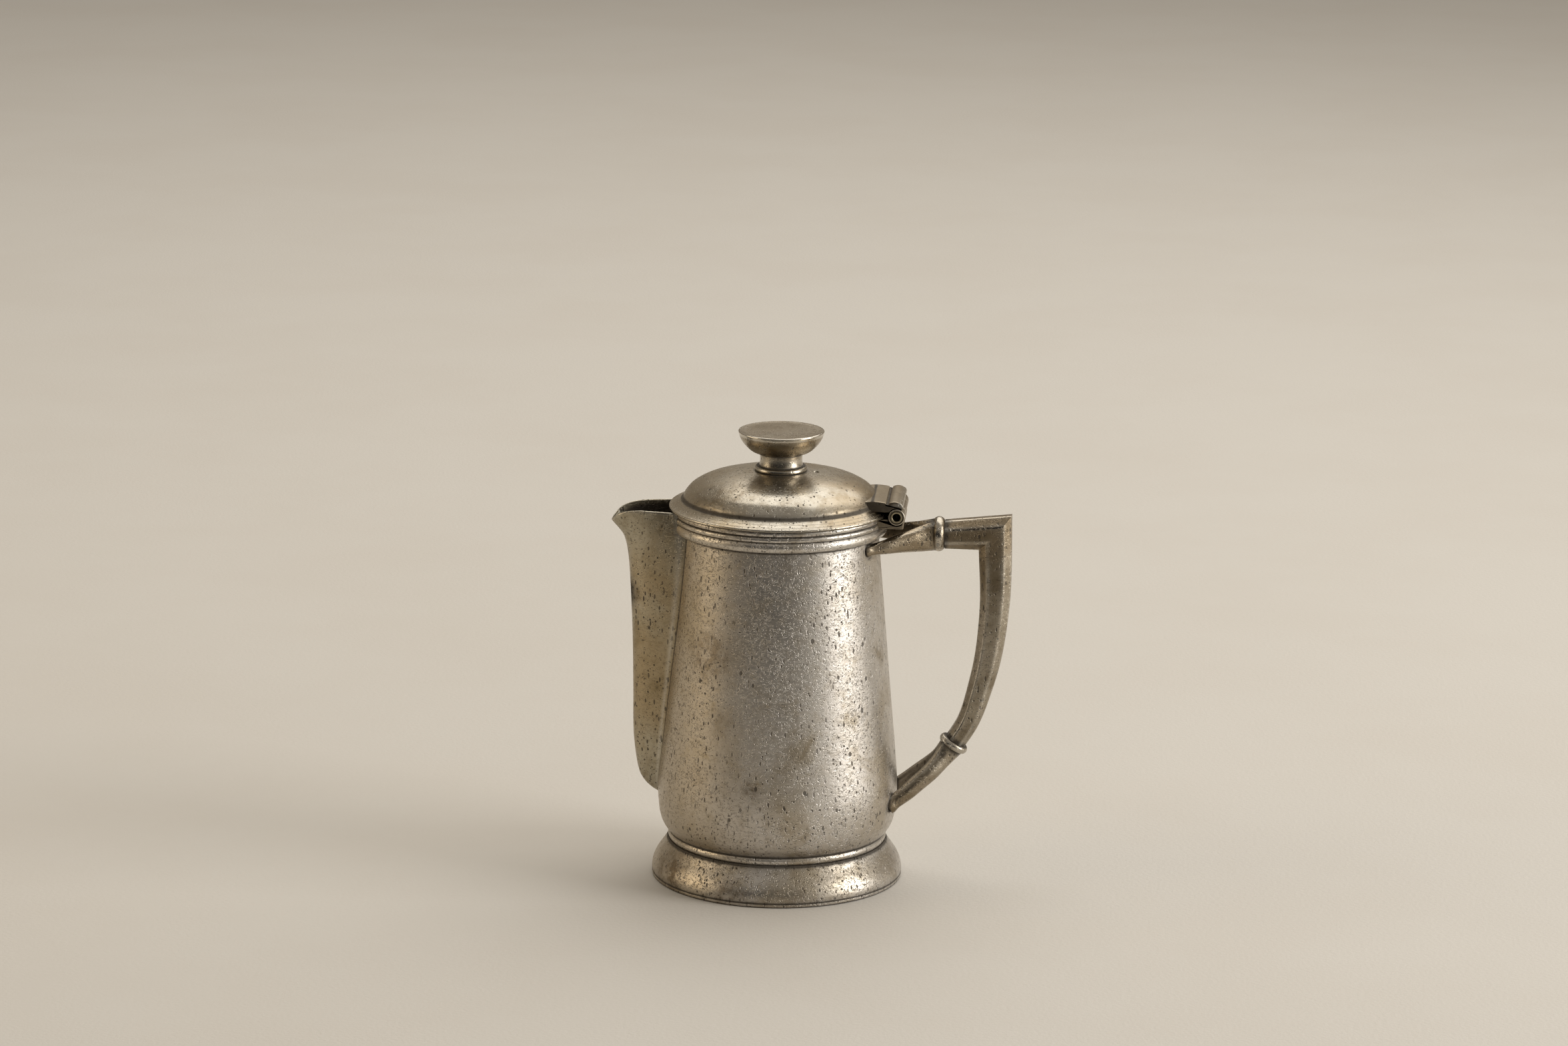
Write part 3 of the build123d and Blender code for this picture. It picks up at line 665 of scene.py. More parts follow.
        # Grime mark: dirt and painted shade in joints, grooves and corners.
        soil_and_shade = (grime * (mottle * 0.9 + 0.55)).step(0.05, 0.85)

        tone = self.tarnish(g, spot, cloud, mottle)
        for share in (grain.step(0.55, 0.8) * 0.22, crease * (0.34 * self.wrinkle), pitted * 0.85, soil_and_shade * 0.9):
            tone = g.blend(share, tone, self.dirt_and_shade)
        # Painted shade inside hollows.
        tone = g.blend(inside * 0.85, tone, self.hollow_shade)
        # Painted highlight and wear on crowns, ridges and edges.
        tone = g.blend(shine * 0.6, tone, self.worn_and_highlight)

        rough = self.roughness + (mottle - 0.5) * 0.22 + (cloud - 0.5) * 0.16 + (grain - 0.5) * 0.12
        rough = rough + pitted * 0.25 + soil_and_shade * 0.3 + inside * 0.1 - shine * 0.12
        metal = 1 - (soil_and_shade * 0.45).either(pitted * 0.4)

        skin = g.noise(g.place((1, 1, 1.5), (0.5, 0.3, 0)), 560, 3, 0.55, 1.0)
        height = skin * (0.45 * self.wrinkle) * calm - crease * (0.55 * self.wrinkle)
        height = height + grain * 0.06 + mottle * 0.16 - pitted * 0.7
        normal = g.node("ShaderNodeBump", {"Strength": 1.0, "Distance": 0.00016, "Height": height})
        g.surface({"Base Color": tone, "Roughness": rough, "Metallic": metal, "Normal": normal})
        return material


@dataclass(frozen=True)
class PinMetal:
    """Bare yellow metal of the pin and the hidden fastening, brushed and dirty, with painted shade where its
    mesh is marked.
    """

    name: str = "pin_metal"

    def build(self) -> bpy.types.Material:
        """Make the material.

        Returns:
            Material brushed round the pin, stained, and dark where its mesh is marked with grime and painted
            shade.
        """
        material, g = material_graph(self.name)
        brush = g.noise(g.place((1, 0.06, 1)), 2600, 3, 0.6)
        stain = g.noise(g.place(), 260, 4, 0.6)
        grime = g.mark(Mark.GRIME_AND_SHADE)
        tone = g.blend(stain.step(0.4, 0.7) * 0.5, (0.56, 0.49, 0.34), (0.22, 0.17, 0.10))
        # Grime mark: dirt and painted shade.
        tone = g.blend(grime * 0.9, tone, (0.02, 0.018, 0.012))
        rough = brush * 0.25 + 0.22 + grime * 0.3
        normal = g.node("ShaderNodeBump", {"Strength": 0.5, "Distance": 0.00004, "Height": brush + stain * 0.6})
        g.surface({"Base Color": tone, "Roughness": rough, "Metallic": 1.0, "Normal": normal})
        return material


@dataclass(frozen=True)
class Floor:
    """Matt pale floor with a faint cloudiness, greyer far out in front."""

    name: str = "pale_floor"
    pale: Colour = (0.59, 0.56, 0.51)
    far: Colour = (0.075, 0.077, 0.082)

    def build(self) -> bpy.types.Material:
        """Make the material.

        Returns:
            Matt material with faint clouds, darker far in front.
        """
        material, g = material_graph(self.name)
        spot = g.place()
        depth = g.node("ShaderNodeSeparateXYZ", {0: spot}, output=1)
        cloud = g.noise(spot, 9, 4, 0.6)
        tone = g.blend(cloud.step(0.35, 0.7) * 0.12, self.pale, (0.50, 0.44, 0.37))
        tone = g.blend((0 - depth).step(0.17, 0.65), tone, self.far)
        grain = g.noise(spot, 700, 3)
        normal = g.node("ShaderNodeBump", {"Strength": 0.2, "Distance": 0.0006, "Height": grain})
        g.surface({"Base Color": tone, "Roughness": 0.85, "Normal": normal})
        return material


# ---------------------------------------------------------------- the frame's levels


def span(node: str) -> Array:
    """A node's lowest and highest corners, in millimetres."""
    return np.array(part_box(node), float) / MM


def side(node: str, end: int, axis: int, extra: float = 0.0) -> float:
    """Field read from one side of a node's box.

    Args:
        node: The node's name.
        end: 0 for its low side, 1 for its high side.
        axis: 0, 1 or 2.
        extra: Added to it, in millimetres.

    Returns:
        The dataclass field.
    """
    return field(default_factory=lambda: span(node)[end, axis] + extra)


@dataclass(frozen=True)
class Levels:
    """Heights and radii of the pot, read from the frame and shared by its sub-assemblies."""

    wire_top: float = side("foot_wire", 1, 2)
    foot_top: float = side("foot_ring", 1, 2)
    waist_top: float = side("waist_band", 1, 2)
    rim_base: float = side("rim_band", 0, 2)
    rim_top: float = side("rim_band", 1, 2)
    brim_base: float = side("lid_brim", 0, 2)
    dome_top: float = side("lid_dome", 1, 2)
    neck_base: float = side("lid_dome", 1, 2, -0.8)
    neck_top: float = side("knob_neck", 1, 2)
    knob_top: float = side("knob_head", 1, 2)
    foot: float = side("foot_wire", 1, 1)
    waist: float = side("waist_band", 1, 1)
    mouth: float = side("lid_bezel", 1, 1, 1.6)
    dome: float = side("lid_dome", 1, 1)
    pin_x: float = field(default_factory=lambda: span("hinge_pin")[:, 0].mean())
    pin_z: float = field(default_factory=lambda: span("hinge_pin")[:, 2].mean())
    half_hinge: float = side("hinge_pin", 1, 1)
    belly: float = 38.45
    brim: float = 35.35
    wall: float = 1.1
    dome_rise: float = 3.0
    dome_out: tuple = (0, 0.2, 0.48, 0.74, 0.90, 0.97, 1.0)
    dome_up: tuple = (1, 0.98, 0.885, 0.70, 0.44, 0.19, 0.0)
    tapers_from: float = 20.3

    def height(self, share: Array | float) -> Array | float:
        """Height at a share of the way from the waist to the rim."""
        return self.waist_top + share * (self.rim_top - self.waist_top)

    def radius(self, height: Array) -> Array:
        """Outside radius of the tapered wall: a straight line from the mouth, no more than the belly.

        Args:
            height: Heights.

        Returns:
            Radii.
        """
        slope = (self.belly - 0.3 - self.mouth) / (self.rim_top - self.waist_top - self.tapers_from)
        return np.minimum(self.belly, self.mouth + slope * (self.rim_top - np.asarray(height, float)))

    def dome_height(self, radius: Array) -> Array:
        """Height of the dome's outside: a steady cubic through shares of its radius and rise.

        Args:
            radius: Distances from the axis.

        Returns:
            Heights.
        """
        base, share = self.brim_base + self.dome_rise, np.asarray(radius, float) / self.dome
        return base + (self.dome_top - base) * steady(share, self.dome_out, self.dome_up)


LEVELS = Levels()


def sway(angle: Array, height: Array, size: float) -> Array:
    """Hand-worked unevenness: a sum of slow waves round and up a turned piece.

    Args:
        angle: Angles round the axis, in radians.
        height: Heights in millimetres.
        size: Size of the unevenness in millimetres.

    Returns:
        size * sum of weight * sin(k * angle + a + m * height) over a few waves.
    """
    waves = ((2, 0.5, 0.021, 0.6), (3, 2.1, -0.043, 0.5), (5, 4.0, 0.071, 0.35), (7, 1.2, -0.10, 0.25),
             (11, 3.3, 0.16, 0.14), (17, 0.4, -0.23, 0.08))
    total = sum(w * np.sin(k * angle + a + m * height) * np.cos(0.7 * m * height + k) for k, a, m, w in waves)
    return size * total


def rests_outside(points: Array, depth: float = 0.55) -> Array:
    """Points that sink deeper into the body's wall than a depth, moved back out to that depth.

    Args:
        points: Points, in millimetres.
        depth: The deepest that a point may lie.

    Returns:
        The points, those that lay deeper scaled away from the axis.
    """
    reach = np.hypot(points[..., 0], points[..., 1])
    least = LEVELS.radius(points[..., 2]) - depth
    scale = np.where(reach < least, least / np.maximum(reach, 1e-6), 1.0)
    moved = points.copy()
    moved[..., :2] *= scale[..., None]
    return moved


def finish(piece: bpy.types.Object, material: bpy.types.Material, body: Body, slot: Slot, *nodes: str) -> None:
    """Dress a piece, put it on its body and hide the nodes it stands for.

    Args:
        piece: The object.
        material: Its finish.
        body: The body it rides on.
        slot: Its material slot; not used.
        nodes: The nodes it stands for.
    """
    piece.data.materials.clear()
    piece.data.materials.append(material)
    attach(piece, body.value)
    if nodes:
        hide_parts(*nodes)
    LOG.info("%s: %d faces on %s", piece.name, len(piece.data.polygons), body.value)


Materials = dict[Slot, bpy.types.Material]


# ---------------------------------------------------------------- sub-assemblies


@dataclass
class Foot:
    """Spun foot on its flat wire, with the half-round band at the waist."""

    materials: Materials
    wire_width: float = 2.6
    gauge: float = 1.1
    flange: float = 6.0
    unevenness: float = 0.05
    band_unevenness: float = 0.06
    segments: int = 300

    def spun(self, name: str, outline: Array, marks: dict[Mark, Array], uneven: float) -> bpy.types.Object:
        """An outline revolved, with a hand-worked sway."""
        swayed = sway(around(self.segments), outline[:, 1:], uneven)
        return turned(name, outline, self.segments, marks, swayed)

    def curve(self, inset: float, top: float, steps: int) -> Array:
        """Side of the foot from the wire up: a spline through shares of its flare and height.

        Args:
            inset: How far it is moved in.
            top: Height of its upper end.
            steps: Number of points.

        Returns:
            Points as (radius, height).
        """
        flare, rise = LEVELS.foot - LEVELS.waist, top - LEVELS.wire_top
        shares = ((0, 1), (0.13, 1.0), (0.47, 0.76), (0.78, 0.29), (1, 0))
        knots = [(LEVELS.waist + out * flare - inset, LEVELS.wire_top + up * rise) for up, out in shares]
        return smooth(knots, steps)

    def ring(self) -> bpy.types.Object:
        """Domed side with its flange turned in at the top.

        Returns:
            The foot ring, revolved from its outside, flange and inside, with dirt and painted shade in both
            joints and painted shade on its inside.
        """
        under = LEVELS.foot_top - self.gauge
        outside = self.curve(0, LEVELS.foot_top, 40)
        inside = self.curve(self.gauge, under, 24)[::-1]
        flange = LEVELS.waist - self.flange
        outline = joined(outside, line((LEVELS.waist - 0.2, LEVELS.foot_top), (flange, LEVELS.foot_top), 4),
                         line((flange, under), (LEVELS.waist - self.gauge - 0.3, under), 4), inside)
        r, z = outline.T
        # Dirt and painted shade at both joints, spreading a little; painted shade on the inside.
        grime = near(z, LEVELS.foot_top, 0.55) * (r > LEVELS.waist - 0.5)
        grime = grime + near(z, LEVELS.wire_top, 0.45) * 0.9 + 0.28 * near(z, LEVELS.wire_top, 2.6)
        lining = (z < LEVELS.foot_top - 0.2) & (np.arange(len(outline)) >= len(outside) + 4)
        marks = {Mark.GRIME_AND_SHADE: grime + 0.35 * near(z, LEVELS.foot_top, 2.5), Mark.INSIDE: lining * 0.75}
        return self.spun("foot_ring_shaped", outline, marks, self.unevenness)

    def wire(self) -> bpy.types.Object:
        """Flat wire that the pot stands on, rounded at its lower outside edge and dark there with dirt and
        painted shade.

        Returns:
            The wire, with dirt and painted shade along both of its edges.
        """
        inner, top = LEVELS.foot - self.wire_width, LEVELS.wire_top
        outline = rounded([(inner, 0, 0.2), (LEVELS.foot, 0, 0.6), (LEVELS.foot, top, 0.18),
                           (inner, top, 0.1)], 7)
        # Dirt and painted shade along the bottom and the top edge.
        marks = {Mark.GRIME_AND_SHADE: near(outline[:, 1], 0, 0.5) * 0.9 + near(outline[:, 1], top, 0.12) * 0.8}
        return self.spun("foot_wire_shaped", outline, marks, self.unevenness)

    def band(self) -> bpy.types.Object:
        """Half-round band over the joint of foot and body, with painted highlight and wear along its crown.

        Returns:
            The band, with dirt and painted shade in both joints.
        """
        low, high, out = LEVELS.foot_top, LEVELS.waist_top, LEVELS.waist
        crown = arc((out - 0.5, low), (out, (low + high) / 2), (out - 0.5, high), 15)
        outline = joined(crown, [(out - 1.15, high)], [(out - 1.15, low)])
        reach = outline[:, 0]
        # Dirt and painted shade in the joints, painted highlight on the crown.
        marks = {Mark.GRIME_AND_SHADE: ease(out - 0.2, out - 0.5, reach), Mark.WEAR_AND_HIGHLIGHT: near(reach, out, 0.10) * 0.12}
        return self.spun("waist_band_shaped", outline, marks, self.band_unevenness)

    def build(self) -> None:
        """Make and dress the three pieces."""
        material = self.materials[Slot.BODY]
        finish(self.ring(), material, Body.POT, Slot.BODY, "foot_ring")
        finish(self.wire(), material, Body.POT, Slot.BODY, "foot_wire")
        finish(self.band(), material, Body.POT, Slot.BODY, "waist_band")


@dataclass
class Spout:
    """Gutter spout from the belly to beyond the rim, open at the top."""

    materials: Materials
    shares: tuple = (0.102, 0.118, 0.140, 0.170, 0.214, 0.296, 0.429, 0.580, 0.731, 0.848, 0.902, 0.948,
                     0.992, 1.011)
    standoffs: tuple = (-0.85, 2.0, 4.4, 6.2, 7.6, 9.3, 10.7, 12.35, 14.4, 16.4, 18.2, 22.4, 27.4, 29.5)
    halves: tuple = (0.9, 2.5, 4.0, 5.3, 6.5, 8.0, 9.8, 11.4, 12.5, 12.7, 12.4, 11.8, 11.2, 10.9)
    lip: tuple = ((13.45, 0.8), (17.4, 1.35), (20.4, 2.5), (23.0, 5.0), (25.5, 8.5))
    gauge: float = 0.9
    power: float = 2.5
    columns: int = 61
    rows: int = 150

    def half(self, height: Array) -> Array:
        """Half width at the wall, at a height."""
        return steady(height, LEVELS.height(np.array(self.shares)), self.halves)

    def across(self, u: Array, height: Array, inset: float) -> tuple[Array, Array]:
        """Skin at a place across and up: x = -ridge + (ridge - seam) * |u| ** power, y = u * half width.

        Args:
            u: Place across, from -1 to 1.
            height: Height in millimetres.
            inset: How far the skin is moved in.

        Returns:
            x and y.
        """
        wide = self.half(height)
        radius = LEVELS.radius(height)
        ridge = radius + steady(height, LEVELS.height(np.array(self.shares)), self.standoffs) - inset
        seam = np.sqrt(radius**2 - wide**2) - 0.35
        return -ridge + (ridge - seam) * np.abs(u) ** self.power, u * (wide - inset)

    def top(self, u: Array, inset: float) -> Array:
        """Height of the lip at each place across, found by halving the gap to the lip's line.

        Args:
            u: Places across, from -1 to 1.
            inset: How far the skin is moved in.

        Returns:
            Heights.
        """
        beyond, drop = np.array(self.lip).T
        low, high = np.full(u.shape, LEVELS.height(0.8)), np.full(u.shape, LEVELS.height(1.011))
        for _ in range(40):
            middle = (low + high) / 2
            out = np.clip(-self.across(u, middle, inset)[0] - LEVELS.mouth, beyond[0], beyond[-1])
            under = middle < LEVELS.rim_top - steady(out, beyond, drop)
            low, high = np.where(under, middle, low), np.where(under, high, middle)
        return (low + high) / 2

    def shell(self) -> bpy.types.Object:
        """The spout as a crescent section carried up from its toe, closed by a rounded lip.

        Returns:
            The spout: rows go up, columns go across the outside and back across the inside.
        """
        u = np.sin(np.linspace(-np.pi / 2, np.pi / 2, self.columns))[None, :]
        way = np.linspace(0, 1, self.rows)[:, None]
        climb = ease(0, 1, way) * 0.4 + way * 0.6
        base = LEVELS.height(self.shares[0])
        outer_z = base + climb * (self.top(u, 0) - base)
        inner_z = base + climb * (self.top(u, self.gauge) - base)
        outer_x, outer_y = self.across(u, outer_z, 0)
        inner_x, inner_y = self.across(u, inner_z, self.gauge)
        wall_x = -np.sqrt(np.maximum(LEVELS.radius(inner_z) ** 2 - inner_y**2, 1)) + 0.3
        open_part = ease(LEVELS.height(0.150), LEVELS.height(0.185), inner_z)
        inner_x = wall_x + (np.minimum(inner_x, wall_x) - wall_x) * open_part
        outside = np.stack([outer_x, outer_y, outer_z], -1)
        inside = np.stack([inner_x, inner_y, inner_z], -1)
        middle, gap = (outside[-1] + inside[-1]) / 2, (outside[-1] - inside[-1]) / 2
        turn = np.linspace(0, np.pi / 2, 6)[1:, None, None]
        lift = np.sin(turn) * np.array([0, 0, 0.4])
        outside = np.concatenate([outside, middle + np.cos(turn) * gap + lift])
        inside = np.concatenate([inside, middle - np.cos(turn) * gap + lift])
        points = rests_outside(np.concatenate([outside, inside[:, ::-1]], 1), 0.5)
        brink = np.concatenate([outer_z[-1:], inner_z[-1:, ::-1]], 1)
        marks = self.wear_and_painted_light(np.broadcast_to(np.abs(u), outside.shape[:2]), points[..., 2], brink)
        return sheet_piece("spout_shaped", points, False, True, caps=True, marks=marks, sharp=50)

    def wear_and_painted_light(self, edge: Array, height: Array, brink: Array) -> dict[Mark, Array]:
        """Marks of the spout, from how near each point is to the seams and to the lip.

        Args:
            edge: Distance from the ridge across one skin, from 0 to 1.
            height: Height of every point.
            brink: Height of the lip at each column.

        Returns:
            Dirt and painted shade in the seams and under the rim band, a stain on the front, painted shade down
            the gutter, and painted highlight and wear on the lip and edges.
        """
        # Dirt and painted shade in the seams and under the rim band; a stain on the front; painted shade down
        # the gutter; painted highlight and wear on the lip and seam edges.
        joint = np.concatenate([near(edge, 1, 0.012), near(edge[:, ::-1], 1, 0.03)], 1)
        stain = near(height, 92, 6) * np.concatenate([ease(0.62, 0.2, edge), np.zeros_like(edge)], 1)
        hollow = np.concatenate([np.zeros_like(edge), np.ones_like(edge)], 1)
        below = brink - height
        crevice = near(height, LEVELS.rim_base - 0.2, 0.5) * np.concatenate([ease(0.86, 0.96, edge)] * 2, 1)
        bright = (1 - ease(0.0, 0.7, below)) * 0.3 + 0.5 * near(np.concatenate([edge] * 2, 1), 0.95, 0.02)
        return {Mark.GRIME_AND_SHADE: np.clip(joint + 0.75 * stain + crevice, 0, 1),
                Mark.INSIDE: hollow * ease(0.0, 1.6, below), Mark.WEAR_AND_HIGHLIGHT: np.clip(bright, 0, 1)}

    def build(self) -> None:
        """Make and dress the spout."""
        finish(self.shell(), self.materials[Slot.SPOUT], Body.POT, Slot.SPOUT, "spout_shell")


@dataclass
class Vessel:
    """Raised wall with its strainer, and the reeded band round the mouth."""

    materials: Materials
    spout: Spout
    bulge: tuple = ((3.1, 0.43), (8.9, 0.09), (13.5, 0.013))
    crease: float = 34.6
    band_depth: float = 2.85
    reeds: tuple = ((3.3, 0.75), (1.8, 0.65), (1.9, 0.35))
    joints: tuple = ((29.0, 12.3, 110.1), (37.2, 9.9, 26.8))
    skirt: float = 33.9
    hole: float = 1.1
    hole_pitch: float = 4.2
    hole_rows: int = 7
    top_row: float = 13.4
    band_ends: float = 10.6
    segments: int = 300

    def side(self, inset: float, lift: float) -> Array:
        """Side of the wall: a spline through the belly's bulge, then a straight taper to the mouth.

        Args:
            inset: How far it is moved in.
            lift: How far its lower part is moved up.

        Returns:
            Points as (radius, height), from the crease up.
        """
        left = LEVELS.belly - self.crease
        low = [(LEVELS.belly - inset - share * left, LEVELS.waist_top + up + lift) for up, share in self.bulge]
        shoulder = (LEVELS.belly - 0.3 - inset, LEVELS.waist_top + LEVELS.tapers_from)
        after = (LEVELS.radius(LEVELS.waist_top + 24) - inset, LEVELS.waist_top + 24)
        foot = smooth([(self.crease - inset, LEVELS.waist_top + lift), *low, shoulder, after], 40)
        return joined(foot, line(tuple(foot[-1]), (LEVELS.mouth - inset, LEVELS.rim_top), 90))

    def strainer(self) -> bpy.types.Object:
        """All strainer drills as one object: seven rows of five and four, set over each other's gaps.

        Returns:
            The drills, for one cut.
        """
        drills = []
        for row in range(self.hole_rows):
            height = LEVELS.rim_top - self.top_row - row * self.hole_pitch
            count = 5 - row % 2
            through = -LEVELS.radius(height) + np.array([-3.0, 4.0])
            for column in range(count):
                centre = ((column - (count - 1) / 2) * self.hole_pitch, height)
                drills.append(drill(f"drill_{row}_{column}", 0, centre, self.hole, through, 20))
        return merged("strainer_drills", drills)

    def shell(self) -> bpy.types.Object:
        """Wall and skirt, unevenly hand-worked, drilled behind the spout.

        Returns:
            The body shell, with dirt and painted shade in its joints and painted shade inside.
        """
        outside, inside = self.side(0, 0), self.side(LEVELS.wall, 0.7)[::-2]
        bare = self.skirt - LEVELS.wall
        outline = joined(outside, [(LEVELS.mouth - LEVELS.wall / 2, LEVELS.rim_top)], inside,
                         [(bare, LEVELS.waist_top + 0.7)], [(bare, LEVELS.foot_top)],
                         [(self.skirt, LEVELS.foot_top)], [(self.skirt, LEVELS.waist_top)])
        angle, height = around(self.segments), outline[:, 1:]
        count = len(outside)
        is_out = (np.arange(len(outline)) < count)[:, None]
        seam = np.arcsin(np.clip(self.spout.half(height) / LEVELS.radius(height), 0, 1))
        from_spout = (np.abs(np.abs(angle - np.pi) - seam)) * LEVELS.radius(height)
        has_spout = height > LEVELS.height(self.spout.shares[0])
        # Dirt and painted shade at the waist, under the rim band, along the spout's seam and round the forks.
        grime = near(height, LEVELS.waist_top, 0.9) + near(height, LEVELS.rim_base - 0.3, 0.8)
        grime = grime + has_spout * near(from_spout, 0, 0.7)
        x, y = outline[:, :1] * np.cos(angle), outline[:, :1] * np.sin(angle)
        for jx, jy, jz in self.joints:
            gap = np.sqrt((x - jx) ** 2 + (np.abs(y) - jy) ** 2 + (height - jz) ** 2)
            grime = grime + near(gap, 2.3, 0.9) * 0.7
        dent = sway(angle, height, 0.10) * ease(LEVELS.waist_top, LEVELS.waist_top + 8, height) \
            * (1 - ease(LEVELS.rim_base - 8, LEVELS.rim_base, height))
        marks = {Mark.GRIME_AND_SHADE: np.clip(grime, 0, 1) * is_out,
                 Mark.INSIDE: np.broadcast_to(0.8 * (1.0 - is_out), grime.shape)}
        piece = turned("body_shaped", outline, self.segments, marks, dent)
        bored(piece, [self.strainer()])
        return piece

    def band(self) -> bpy.types.Object:
        """Three reeds round the mouth, with dirt and painted shade between, ending in the spout's skin.

        Returns:
            The rim band, carried round from one side of the spout to the other.
        """
        root, inner = LEVELS.mouth + self.band_depth, LEVELS.mouth - 0.5
        scale = (LEVELS.rim_top - LEVELS.rim_base) / sum(tall for tall, _ in self.reeds)
        base, runs = LEVELS.rim_base, []
        for tall, proud in self.reeds:
            top = base + tall * scale
            runs.append(arc((root, base), (root + proud, (base + top) / 2), (root, top), 13))
            base = top
        outline = joined(*runs, [(inner, LEVELS.rim_top)], [(inner, LEVELS.rim_base)])
        r, z = outline.T
        end = np.pi - np.arcsin(self.band_ends / r)[None, :]
        angle = np.linspace(-1, 1, self.segments)[:, None] * end
        reach = r[None, :] + sway(angle, z[None, :], 0.04)
        points = np.stack([reach * np.cos(angle), reach * np.sin(angle), np.broadcast_to(z, angle.shape)], -1)
        # Dirt and painted shade in the grooves, at the top and at the ends; painted highlight and wear on the
        # reeds.
        groove = ease(root + 0.32, root + 0.04, r) * (r > root - 0.1)
        groove = groove + near(z, LEVELS.rim_top, 0.25) * (r > inner + 0.1)
        ends = 1 - ease(0.0, 0.8, (end - np.abs(angle)) * root - 1.0)
        marks = {Mark.GRIME_AND_SHADE: np.clip(groove[None, :] + ends, 0, 1),
                 Mark.WEAR_AND_HIGHLIGHT: np.broadcast_to(ease(root + 0.25, root + 0.6, r), angle.shape) * 0.3}
        return sheet_piece("rim_band_shaped", points, False, True, caps=True, marks=marks, sharp=60)

    def build(self) -> None:
        """Make and dress the wall and the band."""
        finish(self.shell(), self.materials[Slot.BODY], Body.POT, Slot.BODY, "body_shell")
        finish(self.band(), self.materials[Slot.BODY], Body.POT, Slot.BODY, "rim_band")


@dataclass
class Hinge:
    """Bracket, knuckles and tubular pin on the pot; grooved leaf and middle knuckle on the lid."""

    materials: Materials
    knuckle: float = 2.6
    pin: float = 2.0
    bore: float = 1.3
    end_length: float = 6.2
    lid_half: float = 6.15
    shelf: float = 2.15
    bed: float = 0.8
    drop: float = 3.9
    crown: float = 4.95
    shoulder: float = 4.5
    groove: tuple = (-2.9, 3.9)
    sides: int = 72

    def placed(self, points: Array) -> Array:
        """Points given relative to the pin."""
        return np.asarray(points, float) + (LEVELS.pin_x, LEVELS.pin_z)

    def bracket(self) -> bpy.types.Object:
        """Block under the knuckles, with a curved seat and dirt and painted shade in it.

        Returns:
            The bracket.
        """
        seat, shelf, bed = self.knuckle + 0.12, self.shelf, self.bed
        start, end = (math.sqrt(seat**2 - shelf**2), -shelf), (-math.sqrt(seat**2 - bed**2), -bed)
        middle = (seat * math.cos(math.radians(248)), seat * math.sin(math.radians(248)))
        corners = rounded([(-6.5, -bed, 0.1), (-6.5, -self.drop, 0.1), (2.2, -self.drop, 0.5),
                           (2.2, -shelf, 0.35), (*start, 0.02)], 5)
        outline = finer(self.placed(joined(corners[2:], arc(start, middle, end, 14))), 0.5)
        x, z = (outline - (LEVELS.pin_x, LEVELS.pin_z)).T
        # Dirt and painted shade in the seat and along the bottom.
        dirt_and_shade = near(np.hypot(x, z), seat, 0.25) + 0.5 * near(z, -self.drop, 0.3)
        return self.block("hinge_bracket_shaped", outline, LEVELS.half_hinge - 0.2, 0.3,
                          {Mark.GRIME_AND_SHADE: np.clip(dirt_and_shade, 0, 1)}, 0.35)

    def block(self, name: str, outline: Array, half: float, edge: float, marks: dict[Mark, Array],
              end_dirt_and_shade: float) -> bpy.types.Object:
        """Bar of an already divided outline across the hinge, with rounded ends.

        Args:
            name: The piece's name.
            outline: Closed outline of (x, z), evenly divided.
            half: Half its length along Y.
            edge: Radius of its end edges.
            marks: Values for each outline point.
            end_dirt_and_shade: How dark its two end faces are, with dirt and painted shade.

        Returns:
            The piece.
        """
        turn = np.linspace(0, np.pi / 2, 5)
        ends = half - edge * (1 - np.cos(turn))
        drawn_in = edge * (1 - np.sin(turn))
        stations = np.r_[-ends, np.linspace(-ends[-1], ends[-1], 26)[1:-1], ends[::-1]]
        grow = -np.r_[drawn_in, np.zeros(24), drawn_in[::-1]]
        points = along_y(outline, stations, grow)
        spread = {mark: np.broadcast_to(value, points.shape[:2]) for mark, value in marks.items()}
        # Dirt and painted shade on both end faces.
        at_end = ease(half - edge, half, np.abs(stations))[:, None]
        spread[Mark.GRIME_AND_SHADE] = np.maximum(spread[Mark.GRIME_AND_SHADE], end_dirt_and_shade * at_end)
        return sheet_piece(name, points, False, True, caps=True, marks=spread, sharp=50)

    def tube(self, name: str, outer: float, inner: float, low: float, high: float,
             edge: float) -> bpy.types.Object:
        """Tube on the hinge line with painted highlight and wear on its lips and painted shade in its bore.

        Args:
            name: The piece's name.
            outer: Outside radius.
            inner: Bore radius.
            low: Where it starts along Y.
            high: Where it ends along Y.
            edge: Radius of its outer lips.

        Returns:
            The tube.
        """
        corners = [(inner, low, edge / 2), (outer, low, edge), (outer, high, edge), (inner, high, edge / 2)]
        outline = finer(rounded(corners, 5), 0.6)
        angle, (reach, along) = around(self.sides), outline.T
        x = LEVELS.pin_x + reach[:, None] * np.cos(angle)
        z = LEVELS.pin_z + reach[:, None] * np.sin(angle)
        points = np.stack([x, np.broadcast_to(along[:, None], x.shape), z], -1)
        # Painted shade in the bore, and for the pin also round its outside where it meets the knuckles; painted
        # highlight and wear on the lips.
        dark = near(reach, inner, 0.26)
        if outer < self.knuckle:
            lip = np.clip(near(along, low, 0.5) + near(along, high, 0.5), 0, 1)
            dark = near(reach, outer, 0.26) + dark * (1 - lip)
        ends = near(along, low, edge) + near(along, high, edge)
        shine = near(reach, outer - edge * 0.3, 0.12) * ends * 0.8
        marks = {mark: np.broadcast_to(value[:, None], x.shape)
                 for mark, value in ((Mark.GRIME_AND_SHADE, dark), (Mark.WEAR_AND_HIGHLIGHT, shine))}
        return sheet_piece(name, points, True, True, marks=marks, sharp=50)

